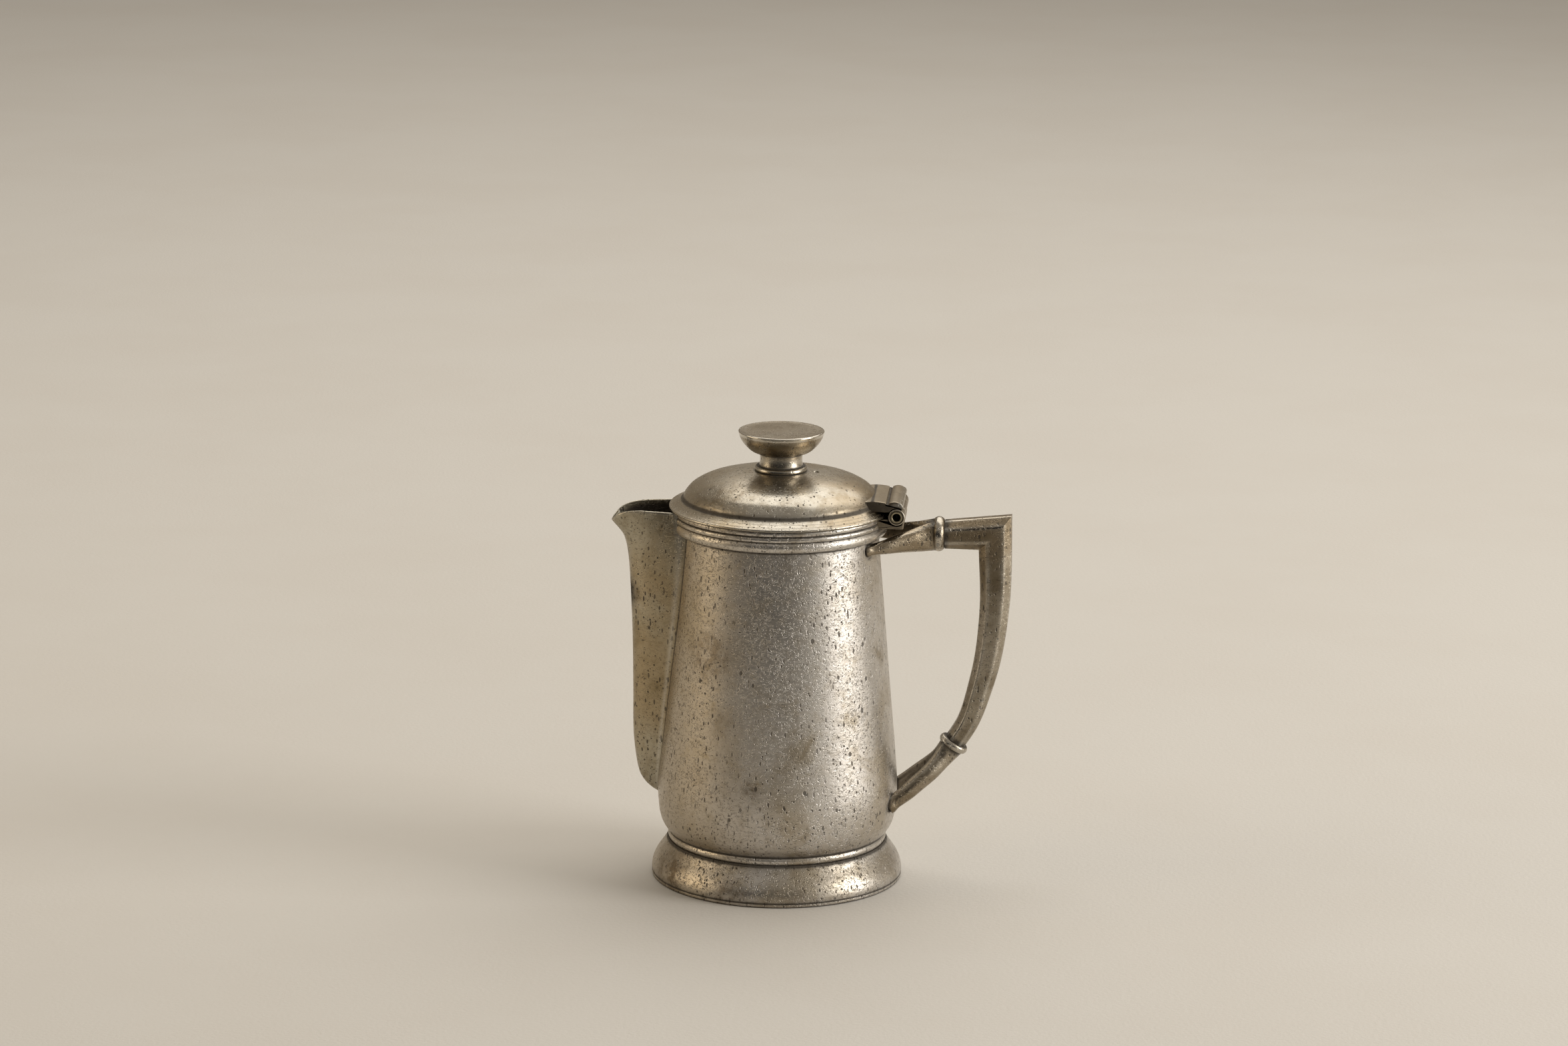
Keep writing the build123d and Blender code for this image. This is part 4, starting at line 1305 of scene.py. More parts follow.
    def leaf(self) -> bpy.types.Object:
        """Leaf from the dome out over the knuckles: two shallow crowns, a groove between, and a hooked nose.

        Returns:
            The leaf, with dirt and painted shade in its groove, under it and at its root, and painted highlight
            and wear on its nose.
        """
        arch, high, (at, low) = self.knuckle + 0.2, self.shoulder, self.groove
        nose = (arch * math.cos(math.radians(54)), arch * math.sin(math.radians(54)))
        heel = (-math.sqrt(arch**2 - 1.5**2), 1.5)
        runs = joined(arc((-11.5, high), (-7.2, self.crown), (at - 0.55, high), 14),
                      arc((at - 0.55, high), self.groove, (at + 0.55, high), 11),
                      arc((at + 0.55, high), (-0.6, self.crown), (1.15, 4.4), 12),
                      arc((1.15, 4.4), (2.0, 3.5), nose, 9), arc(nose, (0, arch), heel, 16),
                      line(heel, (-11.5, 1.5), 12))
        outline = finer(self.placed(runs), 0.45)
        x, z = (outline - (LEVELS.pin_x, LEVELS.pin_z)).T
        # Dirt and painted shade in the groove, under the leaf and at its root; painted highlight and wear on
        # the nose.
        groove = near(x, at, 0.5) * (z > low - 0.5) * ease(high + 0.1, 4.25, z)
        under = near(np.hypot(x, z), arch, 0.2)
        root = near(z, LEVELS.dome_height(np.abs(x + LEVELS.pin_x)) - LEVELS.pin_z, 0.7) * (x < -5)
        marks = {Mark.GRIME_AND_SHADE: np.clip(groove + under + root, 0, 1),
                 Mark.WEAR_AND_HIGHLIGHT: near(x, 1.5, 0.7) * (z > 3) * 0.7}
        return self.block("lid_leaf_shaped", outline, LEVELS.half_hinge - 0.25, 0.4, marks, 0.75)

    def build(self) -> None:
        """Make and dress the hinge."""
        plate, brass = self.materials[Slot.HINGE], self.materials[Slot.PIN]
        half, inner = LEVELS.half_hinge, LEVELS.half_hinge - self.end_length
        finish(self.bracket(), plate, Body.POT, Slot.HINGE, "hinge_bracket")
        finish(self.tube("hinge_knuckle_near_shaped", self.knuckle, self.pin, -half, -inner, 0.35),
               plate, Body.POT, Slot.HINGE, "hinge_knuckle_near")
        finish(self.tube("hinge_knuckle_far_shaped", self.knuckle, self.pin, inner, half, 0.35),
               plate, Body.POT, Slot.HINGE, "hinge_knuckle_far")
        finish(self.tube("hinge_pin_shaped", self.pin - 0.02, self.bore, -half, half, 0.3),
               brass, Body.POT, Slot.PIN, "hinge_pin")
        turning = self.tube("lid_knuckle_shaped", self.knuckle, self.pin + 0.05, -self.lid_half,
                            self.lid_half, 0.12)
        finish(turning, plate, Body.LID, Slot.HINGE, "lid_knuckle")
        finish(self.leaf(), plate, Body.LID, Slot.HINGE, "lid_leaf")


@dataclass
class Lid:
    """Flared brim, ring that drops into the mouth, and spun dome with its vent."""

    materials: Materials
    bezel_wall: float = 0.9
    plate: float = 1.4
    gauge: float = 0.9
    vent_x: float = 11.2
    vent_radius: float = 1.0
    clearance: float = 3.0
    clearance_ends: float = 0.4
    eye: float = 2.0
    lining: float = 0.905

    def bezel(self) -> bpy.types.Object:
        """Ring under the brim.

        Returns:
            The ring, with dirt and painted shade where it meets the brim.
        """
        outer, (low, high) = LEVELS.mouth - 1.6, span("lid_bezel")[:, 2]
        inner = outer - self.bezel_wall
        outline = rounded([(inner, low, 0.3), (outer, low, 0.3), (outer, high, 0.02), (inner, high, 0.02)], 5)
        # Dirt and painted shade near the top, under the brim.
        return turned("lid_bezel_shaped", outline, 240, {Mark.GRIME_AND_SHADE: near(outline[:, 1], high, 2.5) * 0.6})

    def brim(self) -> bpy.types.Object:
        """Brim with a rounded edge and a hollow top, cleared round the knuckles.

        Returns:
            The brim, with dirt and painted shade in the crease under the dome and in fine lines, and painted
            highlight and wear on its edge.
        """
        base, out, foot = LEVELS.brim_base, LEVELS.brim, LEVELS.dome
        top, edge = base + LEVELS.dome_rise, (out - 0.45, base + 0.9)
        middle = ((edge[0] + foot) / 2, (edge[1] + top) / 2 - 0.25)
        inner = LEVELS.mouth - 1.6
        outline = joined(arc((out - 0.72, base), (out, base + 0.45), edge, 13),
                         arc(edge, middle, (foot, top), 22),
                         line((foot - 0.3, top - 0.05), (foot - self.gauge, top - 0.05), 3),
                         line((foot - self.gauge, base + self.plate), (inner, base + self.plate), 3),
                         line((inner, base), (out - 0.72, base), 8))
        r, z = outline.T
        # Dirt and painted shade in the crease and the fine lines; painted highlight and wear on the edge.
        crease = near(r, foot, 0.55) * (z > base + 2) + near(r, foot + 1.6, 0.12) * (z > base + 1) * 0.5
        lines = 0.5 * near(r, out - 1.2, 0.15) * (z > base + 0.5) + 0.9 * near(z, base, 0.2)
        marks = {Mark.GRIME_AND_SHADE: np.clip(crease + lines, 0, 1),
                 Mark.WEAR_AND_HIGHLIGHT: near(r, out - 0.1, 0.25) * (z > base + 0.3) * 0.4}
        piece = turned("lid_brim_shaped", outline, 300, marks, sway(around(300), z[:, None], 0.04), 50)
        reach, pin = LEVELS.half_hinge + self.clearance_ends, (LEVELS.pin_x, LEVELS.pin_z)
        bored(piece, [drill("hinge_clearance", 1, pin, self.clearance, (-reach, reach), 48)])
        return piece

    def dome(self) -> bpy.types.Object:
        """Dome, slightly uneven, with its vent drilled.

        Returns:
            The dome, with dirt and painted shade at its foot and round the knob's flange, and painted shade
            underneath.
        """
        base, foot = LEVELS.brim_base + LEVELS.dome_rise, LEVELS.dome
        away = np.r_[foot, foot * (1 - np.linspace(0, 1, 60)[1:] ** 1.6)]
        away = np.r_[away[away > self.eye], self.eye]
        outside = np.stack([away, LEVELS.dome_height(away)], 1)
        shrink = (foot - self.gauge) / foot
        inside = np.stack([away * shrink, base + (outside[:, 1] - base) * self.lining], 1)[::-2]
        outline = joined(outside, [(self.eye, inside[0, 1])], inside, [(foot - self.gauge, base)])
        r, z = outline.T
        is_out = np.arange(len(outline)) < len(outside)
        # Dirt and painted shade at the foot and round the flange; painted shade underneath.
        grime = near(z, base, 0.7) + near(r, 8.3, 0.5) + 0.25 * near(z, base, 2.2)
        marks = {Mark.GRIME_AND_SHADE: np.clip(grime, 0, 1) * is_out, Mark.INSIDE: 0.8 * (1.0 - is_out)}
        piece = turned("lid_dome_shaped", outline, 300, marks, sway(around(300), z[:, None] * 3, 0.05))
        through = (base, LEVELS.dome_top + 2)
        bored(piece, [drill("vent_drill", 2, (self.vent_x, 0), self.vent_radius, through, 32)])
        return piece

    def build(self) -> None:
        """Make and dress the lid."""
        material = self.materials[Slot.LID]
        finish(self.bezel(), material, Body.LID, Slot.LID, "lid_bezel")
        finish(self.brim(), material, Body.LID, Slot.LID, "lid_brim")
        finish(self.dome(), material, Body.LID, Slot.LID, "lid_dome")


@dataclass
class Knob:
    """Flange and neck under a drum-shaped head."""

    materials: Materials
    flange: float = 8.35
    neck: float = 6.7
    head: float = 13.6
    stud: float = 2.0
    bowl: tuple = ((0.507, 0.0), (0.654, 0.08), (0.816, 0.315), (0.949, 0.658), (0.996, 0.92))

    def stem(self) -> bpy.types.Object:
        """Flange and neck.

        Returns:
            The flange and the neck as one turned piece, with dirt and painted shade in its corners and painted
            highlight and wear on the flange's edge and round the neck.
        """
        foot, rise = LEVELS.neck_base, LEVELS.dome_top - 0.4
        shoulder, top = self.flange - 0.57, rise + 1.7
        waist = arc((self.neck + 0.25, top + 0.1), (self.neck, top + 2.0),
                    (self.neck + 0.15, LEVELS.neck_top), 14)
        outline = joined(line((self.stud, foot), (shoulder, foot), 4),
                         arc((shoulder, rise), (self.flange, rise + 0.85), (shoulder, top), 13),
                         waist, [(self.stud, LEVELS.neck_top)])
        r, z = outline.T
        # Dirt and painted shade in the corners; painted highlight and wear on the flange's edge and round the
        # neck.
        grime = near(z, top + 0.1, 0.35) * (r < shoulder) + near(z, rise, 0.4) + near(z, LEVELS.neck_top, 0.35)
        polish_and_highlight = 0.45 * near(z, (top + LEVELS.neck_top) / 2, 1.4) * (r > self.stud + 1)
        marks = {Mark.GRIME_AND_SHADE: np.clip(grime, 0, 1), Mark.WEAR_AND_HIGHLIGHT: near(r, self.flange, 0.15) * 0.6 + polish_and_highlight}
        return turned("knob_neck_shaped", outline, 200, marks, sway(around(200), z[:, None], 0.02), 45)

    def drum(self) -> bpy.types.Object:
        """Head with a bowl-shaped underside, painted highlight and wear on its edge, and a nearly flat top.

        Returns:
            The head, revolved from the stud's blind hole out round its edge to the middle of its top.
        """
        base, tall = LEVELS.neck_top, LEVELS.knob_top - LEVELS.neck_top
        below = smooth([(out * self.head, base + up * tall) for out, up in self.bowl], 34)
        top = LEVELS.knob_top
        edge = arc(tuple(below[-1]), (self.head, top - 0.28), (self.head - 0.45, top), 12)
        face = np.stack([np.linspace(self.head - 0.45, 0, 26)[1:], np.full(25, top)], 1)
        face[:, 1] -= 0.12 * ease(self.head - 0.6, self.head - 2.2, face[:, 0])
        blind = base + 4.0
        outline = joined([(0.0, blind)], [(self.stud, blind)], line((self.stud, base), tuple(below[0]), 5),
                         below, edge, face)
        r, z = outline.T
        # Dirt and painted shade under the head and a darker ring on its top; painted highlight and wear on the
        # edge.
        grime = near(z, base, 0.5) * (r > self.stud + 1)
        grime = grime + 0.35 * near(r, self.head - 2.0, 0.5) * (z > top - 0.2)
        marks = {Mark.GRIME_AND_SHADE: np.clip(grime, 0, 1), Mark.WEAR_AND_HIGHLIGHT: near(r, self.head, 0.5) * (z > top - 1.2)}
        angle = around(240)
        reach = r[:, None] * (1 + 0.002 * np.sin(2 * angle + 1))
        height = np.broadcast_to(z[:, None], reach.shape)
        points = np.stack([reach * np.cos(angle), reach * np.sin(angle), height], -1)
        spread = {mark: np.broadcast_to(value[:, None], reach.shape) for mark, value in marks.items()}
        return sheet_piece("knob_head_shaped", points, False, True, marks=spread, sharp=50)

    def build(self) -> None:
        """Make and dress the knob."""
        material = self.materials[Slot.KNOB]
        finish(self.stem(), material, Body.LID, Slot.KNOB, "knob_neck")
        finish(self.drum(), material, Body.LID, Slot.KNOB, "knob_head")


@dataclass
class Handle:
    """Eight-sided hollow grip between two bead collars, each held by a fork of two prongs."""

    materials: Materials
    width: float = 8.4
    arm: tuple = (52.3, 0.932, 9.0)
    mitre: tuple = ((63.05, 0.888), (73.4, 0.996))
    fall: tuple = ((68.5, 0.835, 10.3), (68.6, 0.750, 9.7), (67.9, 0.646, 9.1), (66.4, 0.542, 8.5),
                   (63.7, 0.438, 7.7), (60.4, 0.348, 7.0), (56.9, 0.293, 6.7))
    side_flat: float = 0.5
    edge_flat: float = 0.36
    softness: float = 0.24
    fullness: tuple = (1.06, 1.22)
    squareness: float = 0.95
    upper_collar: tuple = (3.8, 5.6)
    lower_collar: tuple = (2.7, 4.9)
    upper: tuple = ((46.2, 3.0, 0.925, 8.2, 4.0), (42.6, 5.2, 0.921, 7.0, 3.8), (38.6, 7.6, 0.917, 5.8, 3.5),
                    (34.4, 10.1, 0.911, 4.5, 3.2), (28.9, 12.3, 0.903, 3.2, 3.0))
    lower: tuple = ((52.4, 3.0, 0.236, 5.9, 3.8), (49.4, 5.0, 0.206, 5.5, 3.8), (45.4, 7.0, 0.174, 5.2, 3.6),
                    (41.6, 8.5, 0.144, 4.9, 3.5), (37.15, 9.9, 0.114, 4.4, 3.3))

    def section(self, depth: Array, width: float) -> tuple[Array, Array]:
        """Eight-sided section with softened ridges.

        Args:
            depth: Depths in the plane of the handle, one for each station.
            width: Width across.

        Returns:
            (stations x points x 2) section points as (outward, sideways), and how near each is to a ridge.
        """
        side, edge, soft = self.side_flat, self.edge_flat, self.softness
        corners = ((1, edge), (side, 1), (-side, 1), (-1, edge), (-1, -edge), (-side, -1), (side, -1),
                   (1, -edge))
        unit = rounded([(*corner, soft) for corner in corners], 5)
        fine, near_ridge = [], []
        for start, end in zip(unit, np.roll(unit, -1, 0)):
            long = np.linalg.norm(end - start) > 0.2
            ways = np.array([0, 0.08, 0.3, 0.5, 0.7, 0.92]) if long else np.array([0.0])
            fine.append(start + ways[:, None] * (end - start))
            near_ridge.append(np.r_[0.8, 0.25, np.zeros(3), 0.25] if long else [1.0])
        fine = np.concatenate(fine)
        scale = np.stack([np.asarray(depth) / 2, np.full(len(depth), width / 2)], 1)
        return fine[None] * scale[:, None], np.concatenate(near_ridge)

    def spine(self) -> tuple[Array, Array, Array]:
        """Middle of the grip, its depth, and the direction across it, from the arm to the lower end.

        Returns:
            Places (x, z), depths and outward unit vectors; the arm and the fall are mitred, so the
            section on the mitre is turned to the line between its inner and outer corner.
        """
        start = np.array([self.arm[0], LEVELS.height(self.arm[1])])
        inner = np.array([self.mitre[0][0], LEVELS.height(self.mitre[0][1])])
        outer = np.array([self.mitre[1][0], LEVELS.height(self.mitre[1][1])])
        corner, run = (inner + outer) / 2, np.linalg.norm(outer - inner)
        lean = (outer - inner) / run
        fall = smooth([(x, LEVELS.height(s), d) for x, s, d in self.fall], 70)
        slope = np.gradient(fall[:, :2], axis=0)
        across = np.stack([-slope[:, 1], slope[:, 0]], 1)
        across /= np.linalg.norm(across, axis=1)[:, None]
        t1 = np.r_[np.linspace(0, 0.95, 14), 0.985][:, None]
        t2 = np.r_[0.015, np.linspace(0.06, 0.94, 10)][:, None]
        places = np.concatenate([start + t1 * (corner - start), [corner],
                                 corner + t2 * (fall[0, :2] - corner), fall[:, :2]])
        up, mitred = np.array([0.0, self.arm[2]]), lean * run
        leans = np.concatenate([up + t1 * (mitred - up), [mitred],
                                mitred + t2 * (across[0] * fall[0, 2] - mitred), across * fall[:, 2:]])
        depths = np.linalg.norm(leans, axis=1)
        return places, depths, leans / depths[:, None]

    def grip(self) -> bpy.types.Object:
        """The grip, with painted highlight and wear on its ridges and dirt and painted shade at its ends.

        Returns:
            Sections carried along the spine and closed at both ends.
        """
        places, depths, lean = self.spine()
        section, ridges = self.section(depths, self.width)
        flat = places[:, None] + section[..., :1] * lean[:, None]
        points = np.stack([flat[..., 0], section[..., 1], flat[..., 1]], -1)
        run = np.r_[0, np.cumsum(np.linalg.norm(np.diff(places, axis=0), axis=1))][:, None]
        points[..., 1] *= 1 + 0.006 * np.sin(run * 0.21) + 0.004 * np.sin(run * 0.53 + 1)
        # Dirt and painted shade at both ends; painted highlight and wear along the ridges.
        grime = near(run, 0, 1.3) + near(run, run[-1], 1.3)
        worn_and_highlight = ridges[None] * (0.65 + 0.35 * np.sin(run * 0.35 + 0.5) * np.cos(run * 0.13))
        marks = {Mark.GRIME_AND_SHADE: np.broadcast_to(np.clip(grime, 0, 1), points.shape[:2]), Mark.WEAR_AND_HIGHLIGHT: worn_and_highlight * 0.55}
        return sheet_piece("handle_grip_shaped", points, False, True, caps=True, marks=marks, sharp=40)

    def lower_end(self) -> tuple[Array, Array]:
        """Lower end of the grip and its direction downwards, in the plane of the handle.

        Returns:
            The end as (x, z) and the unit direction.
        """
        (x0, s0, _), (x1, s1, _) = self.fall[-2:]
        before, end = np.array([x0, LEVELS.height(s0)]), np.array([x1, LEVELS.height(s1)])
        return end, (end - before) / np.linalg.norm(end - before)

    def bead(self, name: str, start: Array, direction: Array, size: tuple[float, float]) -> bpy.types.Object:
        """Rounded collar: circles across a direction, whose radius follows a half-round profile.

        Args:
            name: The piece's name.
            start: Where it begins, as (x, z).
            direction: Unit direction, as (x, z).
            size: Length and radius.

        Returns:
            The collar, with dirt and painted shade at both edges and painted highlight and wear on its crown.
        """
        length, radius = size
        inner = radius - 0.42 * length
        profile = joined([(0, inner * 0.5)], arc((0.0, inner), (length / 2, radius), (length, inner), 25),
                         [(length, inner * 0.5)])
        along, reach = profile.T
        turn = around(96)
        across = np.array([-direction[1], direction[0]])
        middle = start + along[:, None] * direction
        x = middle[:, :1] + reach[:, None] * np.cos(turn) * across[0]
        z = middle[:, 1:] + reach[:, None] * np.cos(turn) * across[1]
        points = np.stack([x, reach[:, None] * np.sin(turn), z], -1)
        # Dirt and painted shade at both edges; painted highlight and wear on the crown.
        grime = near(along, 0, 0.35) + near(along, length, 0.35)
        marks = {Mark.GRIME_AND_SHADE: np.repeat(grime[:, None], 96, 1),
                 Mark.WEAR_AND_HIGHLIGHT: np.repeat(near(reach, radius, 0.35)[:, None] * 0.7, 96, 1)}
        return sheet_piece(name, points, False, True, caps=True, marks=marks, sharp=60)

    def prong(self, name: str, start: Array, depth: float, stations: tuple, side: int) -> bpy.types.Object:
        """One prong: softened oblong sections along a spline, flared where it meets the wall.

        Args:
            name: The piece's name.
            start: Where it begins inside the collar, as (x, z).
            depth: Its depth there.
            stations: (x, y, share of height, depth, thickness) on the way to the wall.
            side: 1 or -1 along Y.

        Returns:
            The prong.
        """
        knots = [(start[0], side * 1.8, start[1], depth, stations[0][4])]
        knots += [(x, side * y, LEVELS.height(share), deep, thick) for x, y, share, deep, thick in stations]
        last, before = np.array(knots[-1]), np.array(knots[-2])
        sunk = last.copy()
        sunk[:3] += (last - before)[:3] / np.linalg.norm((last - before)[:3]) * 1.6
        path = smooth([*knots, tuple(sunk)], 64)
        along = np.gradient(path[:, :3], axis=0)
        along /= np.linalg.norm(along, axis=1)[:, None]
        lateral = np.cross((0, 0, 1), along)
        lateral /= np.linalg.norm(lateral, axis=1)[:, None]
        across = np.cross(lateral, along)
        turn = np.linspace(0, 2 * np.pi, 40, endpoint=False)
        a, b = (np.sign(f(turn)) * np.abs(f(turn)) ** self.squareness for f in (np.cos, np.sin))
        run = np.r_[0, np.cumsum(np.linalg.norm(np.diff(path[:, :3], axis=0), axis=1))]
        flare = 1 + 0.22 * near(run, run[-1] - 0.8, 1.5)
        deep, thick = (path[:, 3:] / 2 * flare[:, None] * self.fullness).T
        points = path[:, None, :3] + (deep[:, None] * a)[..., None] * across[:, None] \
            + (thick[:, None] * b)[..., None] * lateral[:, None]
        # Painted shade on the face turned to the other prong, dirt and painted shade at both joints, and
        # painted highlight and wear along its sides.
        inner_face = ease(0.2, 0.9, -side * np.sign(lateral[:, 1:2]) * b[None] * np.ones((len(path), 1)))
        gap = np.hypot(points[..., 0], points[..., 1]) - LEVELS.radius(points[..., 2])
        joint = near(gap, 0, 0.6) + near(run, 0, 2.4)[:, None]
        marks = {Mark.GRIME_AND_SHADE: np.clip(joint + 0.45 * inner_face, 0, 1),
                 Mark.WEAR_AND_HIGHLIGHT: np.broadcast_to(near(np.abs(a), 0.86, 0.08) * 0.4, points.shape[:2])}
        return sheet_piece(name, rests_outside(points), False, True, caps=True, marks=marks, sharp=50)

    def build(self) -> None:
        """Make and dress the handle."""
        plate = self.materials[Slot.HANDLE]
        top = np.array([self.arm[0], LEVELS.height(self.arm[1])])
        foot, down = self.lower_end()
        finish(self.grip(), plate, Body.POT, Slot.HANDLE, "handle_grip")
        finish(self.bead("handle_upper_collar_shaped", top, np.array([-1.0, 0.0]), self.upper_collar),
               plate, Body.POT, Slot.HANDLE, "handle_upper_collar")
        finish(self.bead("handle_lower_collar_shaped", foot, down, self.lower_collar),
               plate, Body.POT, Slot.HANDLE, "handle_lower_collar")
        upper_root = top + np.array([-self.upper_collar[0] / 2, 0])
        lower_root = foot + down * self.lower_collar[0] / 2
        forks = (("upper", upper_root, 1.6 * self.upper_collar[1], self.upper),
                 ("lower", lower_root, 1.5 * self.lower_collar[1], self.lower))
        for name, root, depth, stations in forks:
            prongs = [self.prong(f"{name}_{side}", root, depth, stations, side) for side in (-1, 1)]
            fork = merged(f"handle_{name}_fork_shaped", prongs)
            fork.data.shade_smooth()
            finish(fork, plate, Body.POT, Slot.HANDLE, f"handle_{name}_fork")


@dataclass
class KeptNodes:
    """Nodes of the frame that show as they are: the floor of the pot and the knob's hidden fastening."""

    materials: Materials
    slots: dict[str, Slot] = field(default_factory=lambda: {
        "body_floor": Slot.BODY, "knob_stud": Slot.PIN, "knob_washer": Slot.PIN, "knob_nut": Slot.PIN})

    def dress(self) -> None:
        """Give each node its finish."""
        for name, slot in self.slots.items():
            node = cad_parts[name]
            node.data.materials.clear()
            node.data.materials.append(self.materials[slot])
            LOG.info("%s keeps its frame shape", name)


@dataclass
class Stage:
    """Floor, lights, surroundings and camera."""

    reach: float = 4.5
    eye: tuple = (0.1142, -1.6334, 0.5078)
    lens: float = 121.86
    pitch: float = 13.48
    roll: float = 0.64
    yaw: float = 3.96

    def floor(self) -> None:
        """A flat floor under the pot."""
        corners = [(x * self.reach, y * self.reach, 0) for x, y in ((-1, -1), (1, -1), (1, 1), (-1, 1))]
        mesh = bpy.data.meshes.new("floor")
        mesh.from_pydata(corners, [], [(0, 1, 2, 3)])
        floor = bpy.data.objects.new("floor", mesh)
        bpy.context.scene.collection.objects.link(floor)
        floor.data.materials.append(Floor().build())

    def light(self, name: str, place: Sequence[float], target: Sequence[float], size: tuple[float, float],
              power: float, colour: Colour) -> None:
        """Add an area light that looks at a target.

        Args:
            name: The light's name.
            place: Where it is, in metres.
            target: What it looks at.
            size: Its width and height.
            power: Its power in watts.
            colour: Its colour.
        """
        data = bpy.data.lights.new(name, "AREA")
        data.shape, data.size, data.size_y = "RECTANGLE", *size
        data.energy, data.color = power, colour
        lamp = bpy.data.objects.new(name, data)
        back = np.array(place, float) - np.array(target, float)
        back /= np.linalg.norm(back)
        right = np.cross((0, 0, 1), back)
        right /= np.linalg.norm(right)
        turn = np.stack([right, np.cross(back, right), back], 1)
        lamp.matrix_world = Matrix.Translation(place) @ Matrix(turn.tolist()).to_4x4()
        bpy.context.scene.collection.objects.link(lamp)

    def surroundings(self) -> None:
        """World light by direction: warm all round, dim and cool in front, bright on the right."""
        world = bpy.data.worlds.new("room")
        bpy.context.scene.world = world
        world.use_nodes = True
        g = Graph(world.node_tree)
        way = g.node("ShaderNodeTexCoord", output="Generated")
        x, y, z = (g.node("ShaderNodeSeparateXYZ", {0: way}, output=i) for i in range(3))
        right = (x * 0.96 - y * 0.28).step(0.70, 0.99)
        front = (0 - y * 0.97 - x * 0.23).step(0.52, 0.95)
        above = z.step(0.15, 0.9)
        colour = g.blend(front, (0.36, 0.305, 0.235), (0.018, 0.021, 0.028))
        colour = g.blend(right, colour, (1.1, 1.08, 1.03))
        colour = g.blend(above * 0.7, colour, (0.55, 0.52, 0.48))
        light = g.node("ShaderNodeBackground", {"Color": colour, "Strength": 0.8})
        g.node("ShaderNodeOutputWorld", {"Surface": light})

    def camera(self) -> None:
        """Camera in front, a little above and to the right, looking slightly down."""
        p, r, w = (math.radians(v) for v in (self.pitch, self.roll, self.yaw))
        forward = np.array([0, math.cos(p), -math.sin(p)])
        right, up = np.array([1.0, 0, 0]), np.array([0, math.sin(p), math.cos(p)])
        right, up = math.cos(r) * right + math.sin(r) * up, math.cos(r) * up - math.sin(r) * right
        spin = np.array([[math.cos(w), -math.sin(w), 0], [math.sin(w), math.cos(w), 0], [0, 0, 1]])
        turn = spin @ np.stack([right, up, -forward], 1)
        data = bpy.data.cameras.new("camera")
        data.lens, data.sensor_width, data.sensor_fit = self.lens, 36.0, "HORIZONTAL"
        camera = bpy.data.objects.new("camera", data)
        camera.matrix_world = Matrix.Translation(self.eye) @ Matrix(turn.tolist()).to_4x4()
        bpy.context.scene.collection.objects.link(camera)
        bpy.context.scene.camera = camera
        bpy.context.scene.view_settings.view_transform = "Standard"

    def build(self) -> None:
        """Set the stage."""
        self.floor()
        self.surroundings()
        middle = (0.0, 0.0, 0.06)
        self.light("window", (1.45, -0.30, 0.50), middle, (0.7, 1.0), 15.0, (1.0, 0.98, 0.95))
        self.light("bounce", (-1.3, -0.25, 0.45), middle, (0.8, 0.8), 3.5, (1.0, 0.84, 0.62))
        self.light("above", (0.35, 0.75, 1.5), middle, (2.2, 1.8), 22.0, (1.0, 0.97, 0.92))
        self.camera()


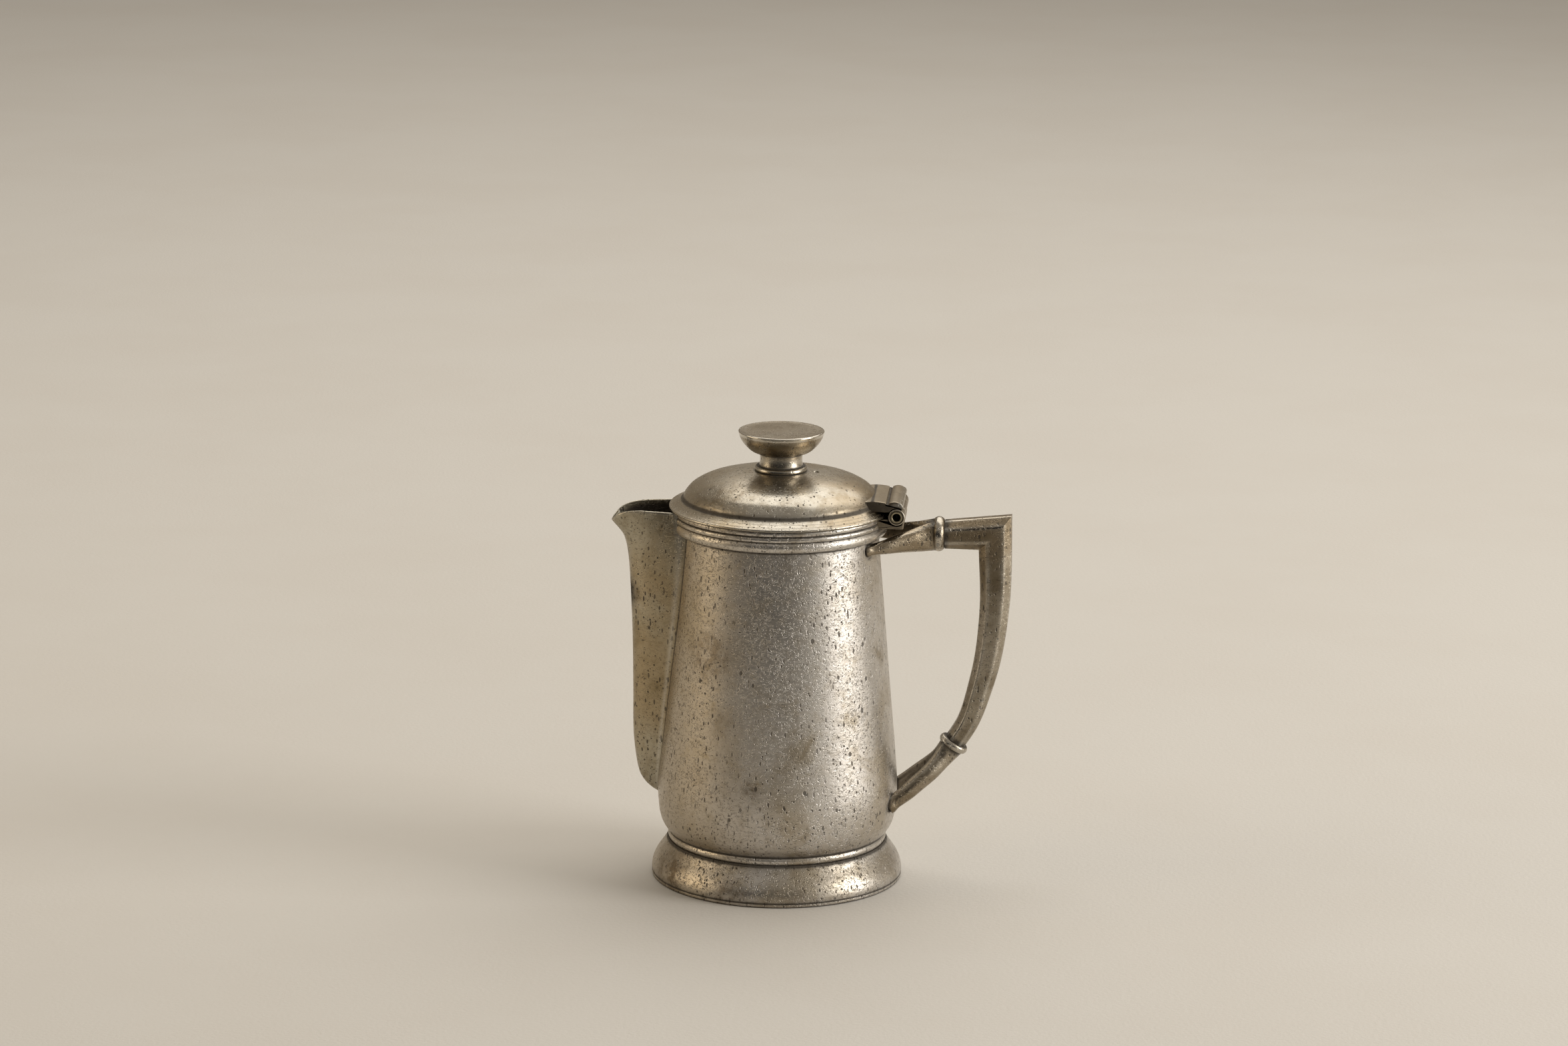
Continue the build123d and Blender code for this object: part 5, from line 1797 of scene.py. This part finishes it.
def main() -> None:
    """Build every sub-assembly in order and set the stage."""
    logging.basicConfig(level=logging.INFO, format="%(message)s")
    finishes = {
        Slot.BODY: Plate("body_plate", bright=(0.585, 0.55, 0.505), golden_reflection_side=0.55, roughness=0.36,
                         pits=1.25, wrinkle=0.9, stains=(
            (-0.020, -0.028, 0.078, 0.012, 0.50), (-0.015, -0.032, 0.058, 0.008, 0.30),
            (-0.006, -0.037, 0.038, 0.0042, 0.85), (-0.003, -0.037, 0.032, 0.002, 0.8),
            (-0.024, -0.030, 0.040, 0.006, 0.25), (-0.020, 0.026, 0.050, 0.010, 0.35),
            # The entry at (-0.033, -0.021, 0.005) darkens the lower left of the foot.
            (0.004, -0.030, 0.108, 0.004, 0.35), (-0.033, -0.021, 0.005, 0.012, 0.75),
            (-0.012, -0.038, 0.004, 0.007, 0.5), (0.010, -0.038, 0.003, 0.006, 0.35))),
        Slot.SPOUT: Plate("spout_plate", (0.44, 0.40, 0.31), (0.37, 0.295, 0.185), (0.235, 0.18, 0.095),
                          warm_share=0.7, olive_share=0.6, wrinkle=0.5, pits=1.4, roughness=0.38, stains=(
                              (-0.0465, -0.005, 0.092, 0.0038, 0.95), (-0.0445, -0.009, 0.0925, 0.002, 0.95),
                              (-0.036, -0.008, 0.116, 0.007, 0.45))),
        Slot.LID: Plate("lid_plate", (0.47, 0.435, 0.37), (0.36, 0.285, 0.185), (0.22, 0.16, 0.085),
                        warm_share=0.7, olive_share=0.5, wrinkle=0.22, pits=0.9, roughness=0.29, golden_reflection_side=0.45,
                        stains=((-0.018, -0.020, 0.127, 0.013, 0.5), (0.006, -0.026, 0.125, 0.006, 0.35))),
        Slot.KNOB: Plate("knob_plate", (0.40, 0.355, 0.28), (0.32, 0.26, 0.18), (0.20, 0.15, 0.085),
                         warm_share=0.6, olive_share=0.5, wrinkle=0.15, pits=0.7, roughness=0.28),
        Slot.HANDLE: Plate("handle_plate", (0.37, 0.325, 0.255), (0.27, 0.215, 0.145), (0.16, 0.122, 0.07),
                           warm_share=0.7, olive_share=0.6, wrinkle=0.3, pits=1.5, roughness=0.29),
        Slot.HINGE: Plate("hinge_plate", (0.41, 0.365, 0.285), (0.31, 0.25, 0.17), (0.19, 0.145, 0.085),
                          warm_share=0.7, olive_share=0.5, wrinkle=0.15, pits=0.9, roughness=0.34),
    }
    materials = {slot: plate.build() for slot, plate in finishes.items()}
    materials[Slot.PIN] = PinMetal().build()
    spout = Spout(materials)
    for part in (Foot(materials), Vessel(materials, spout), spout, Hinge(materials), Lid(materials),
                 Knob(materials), Handle(materials)):
        part.build()
    KeptNodes(materials).dress()
    Stage().build()


if __name__ == "__main__":
    main()
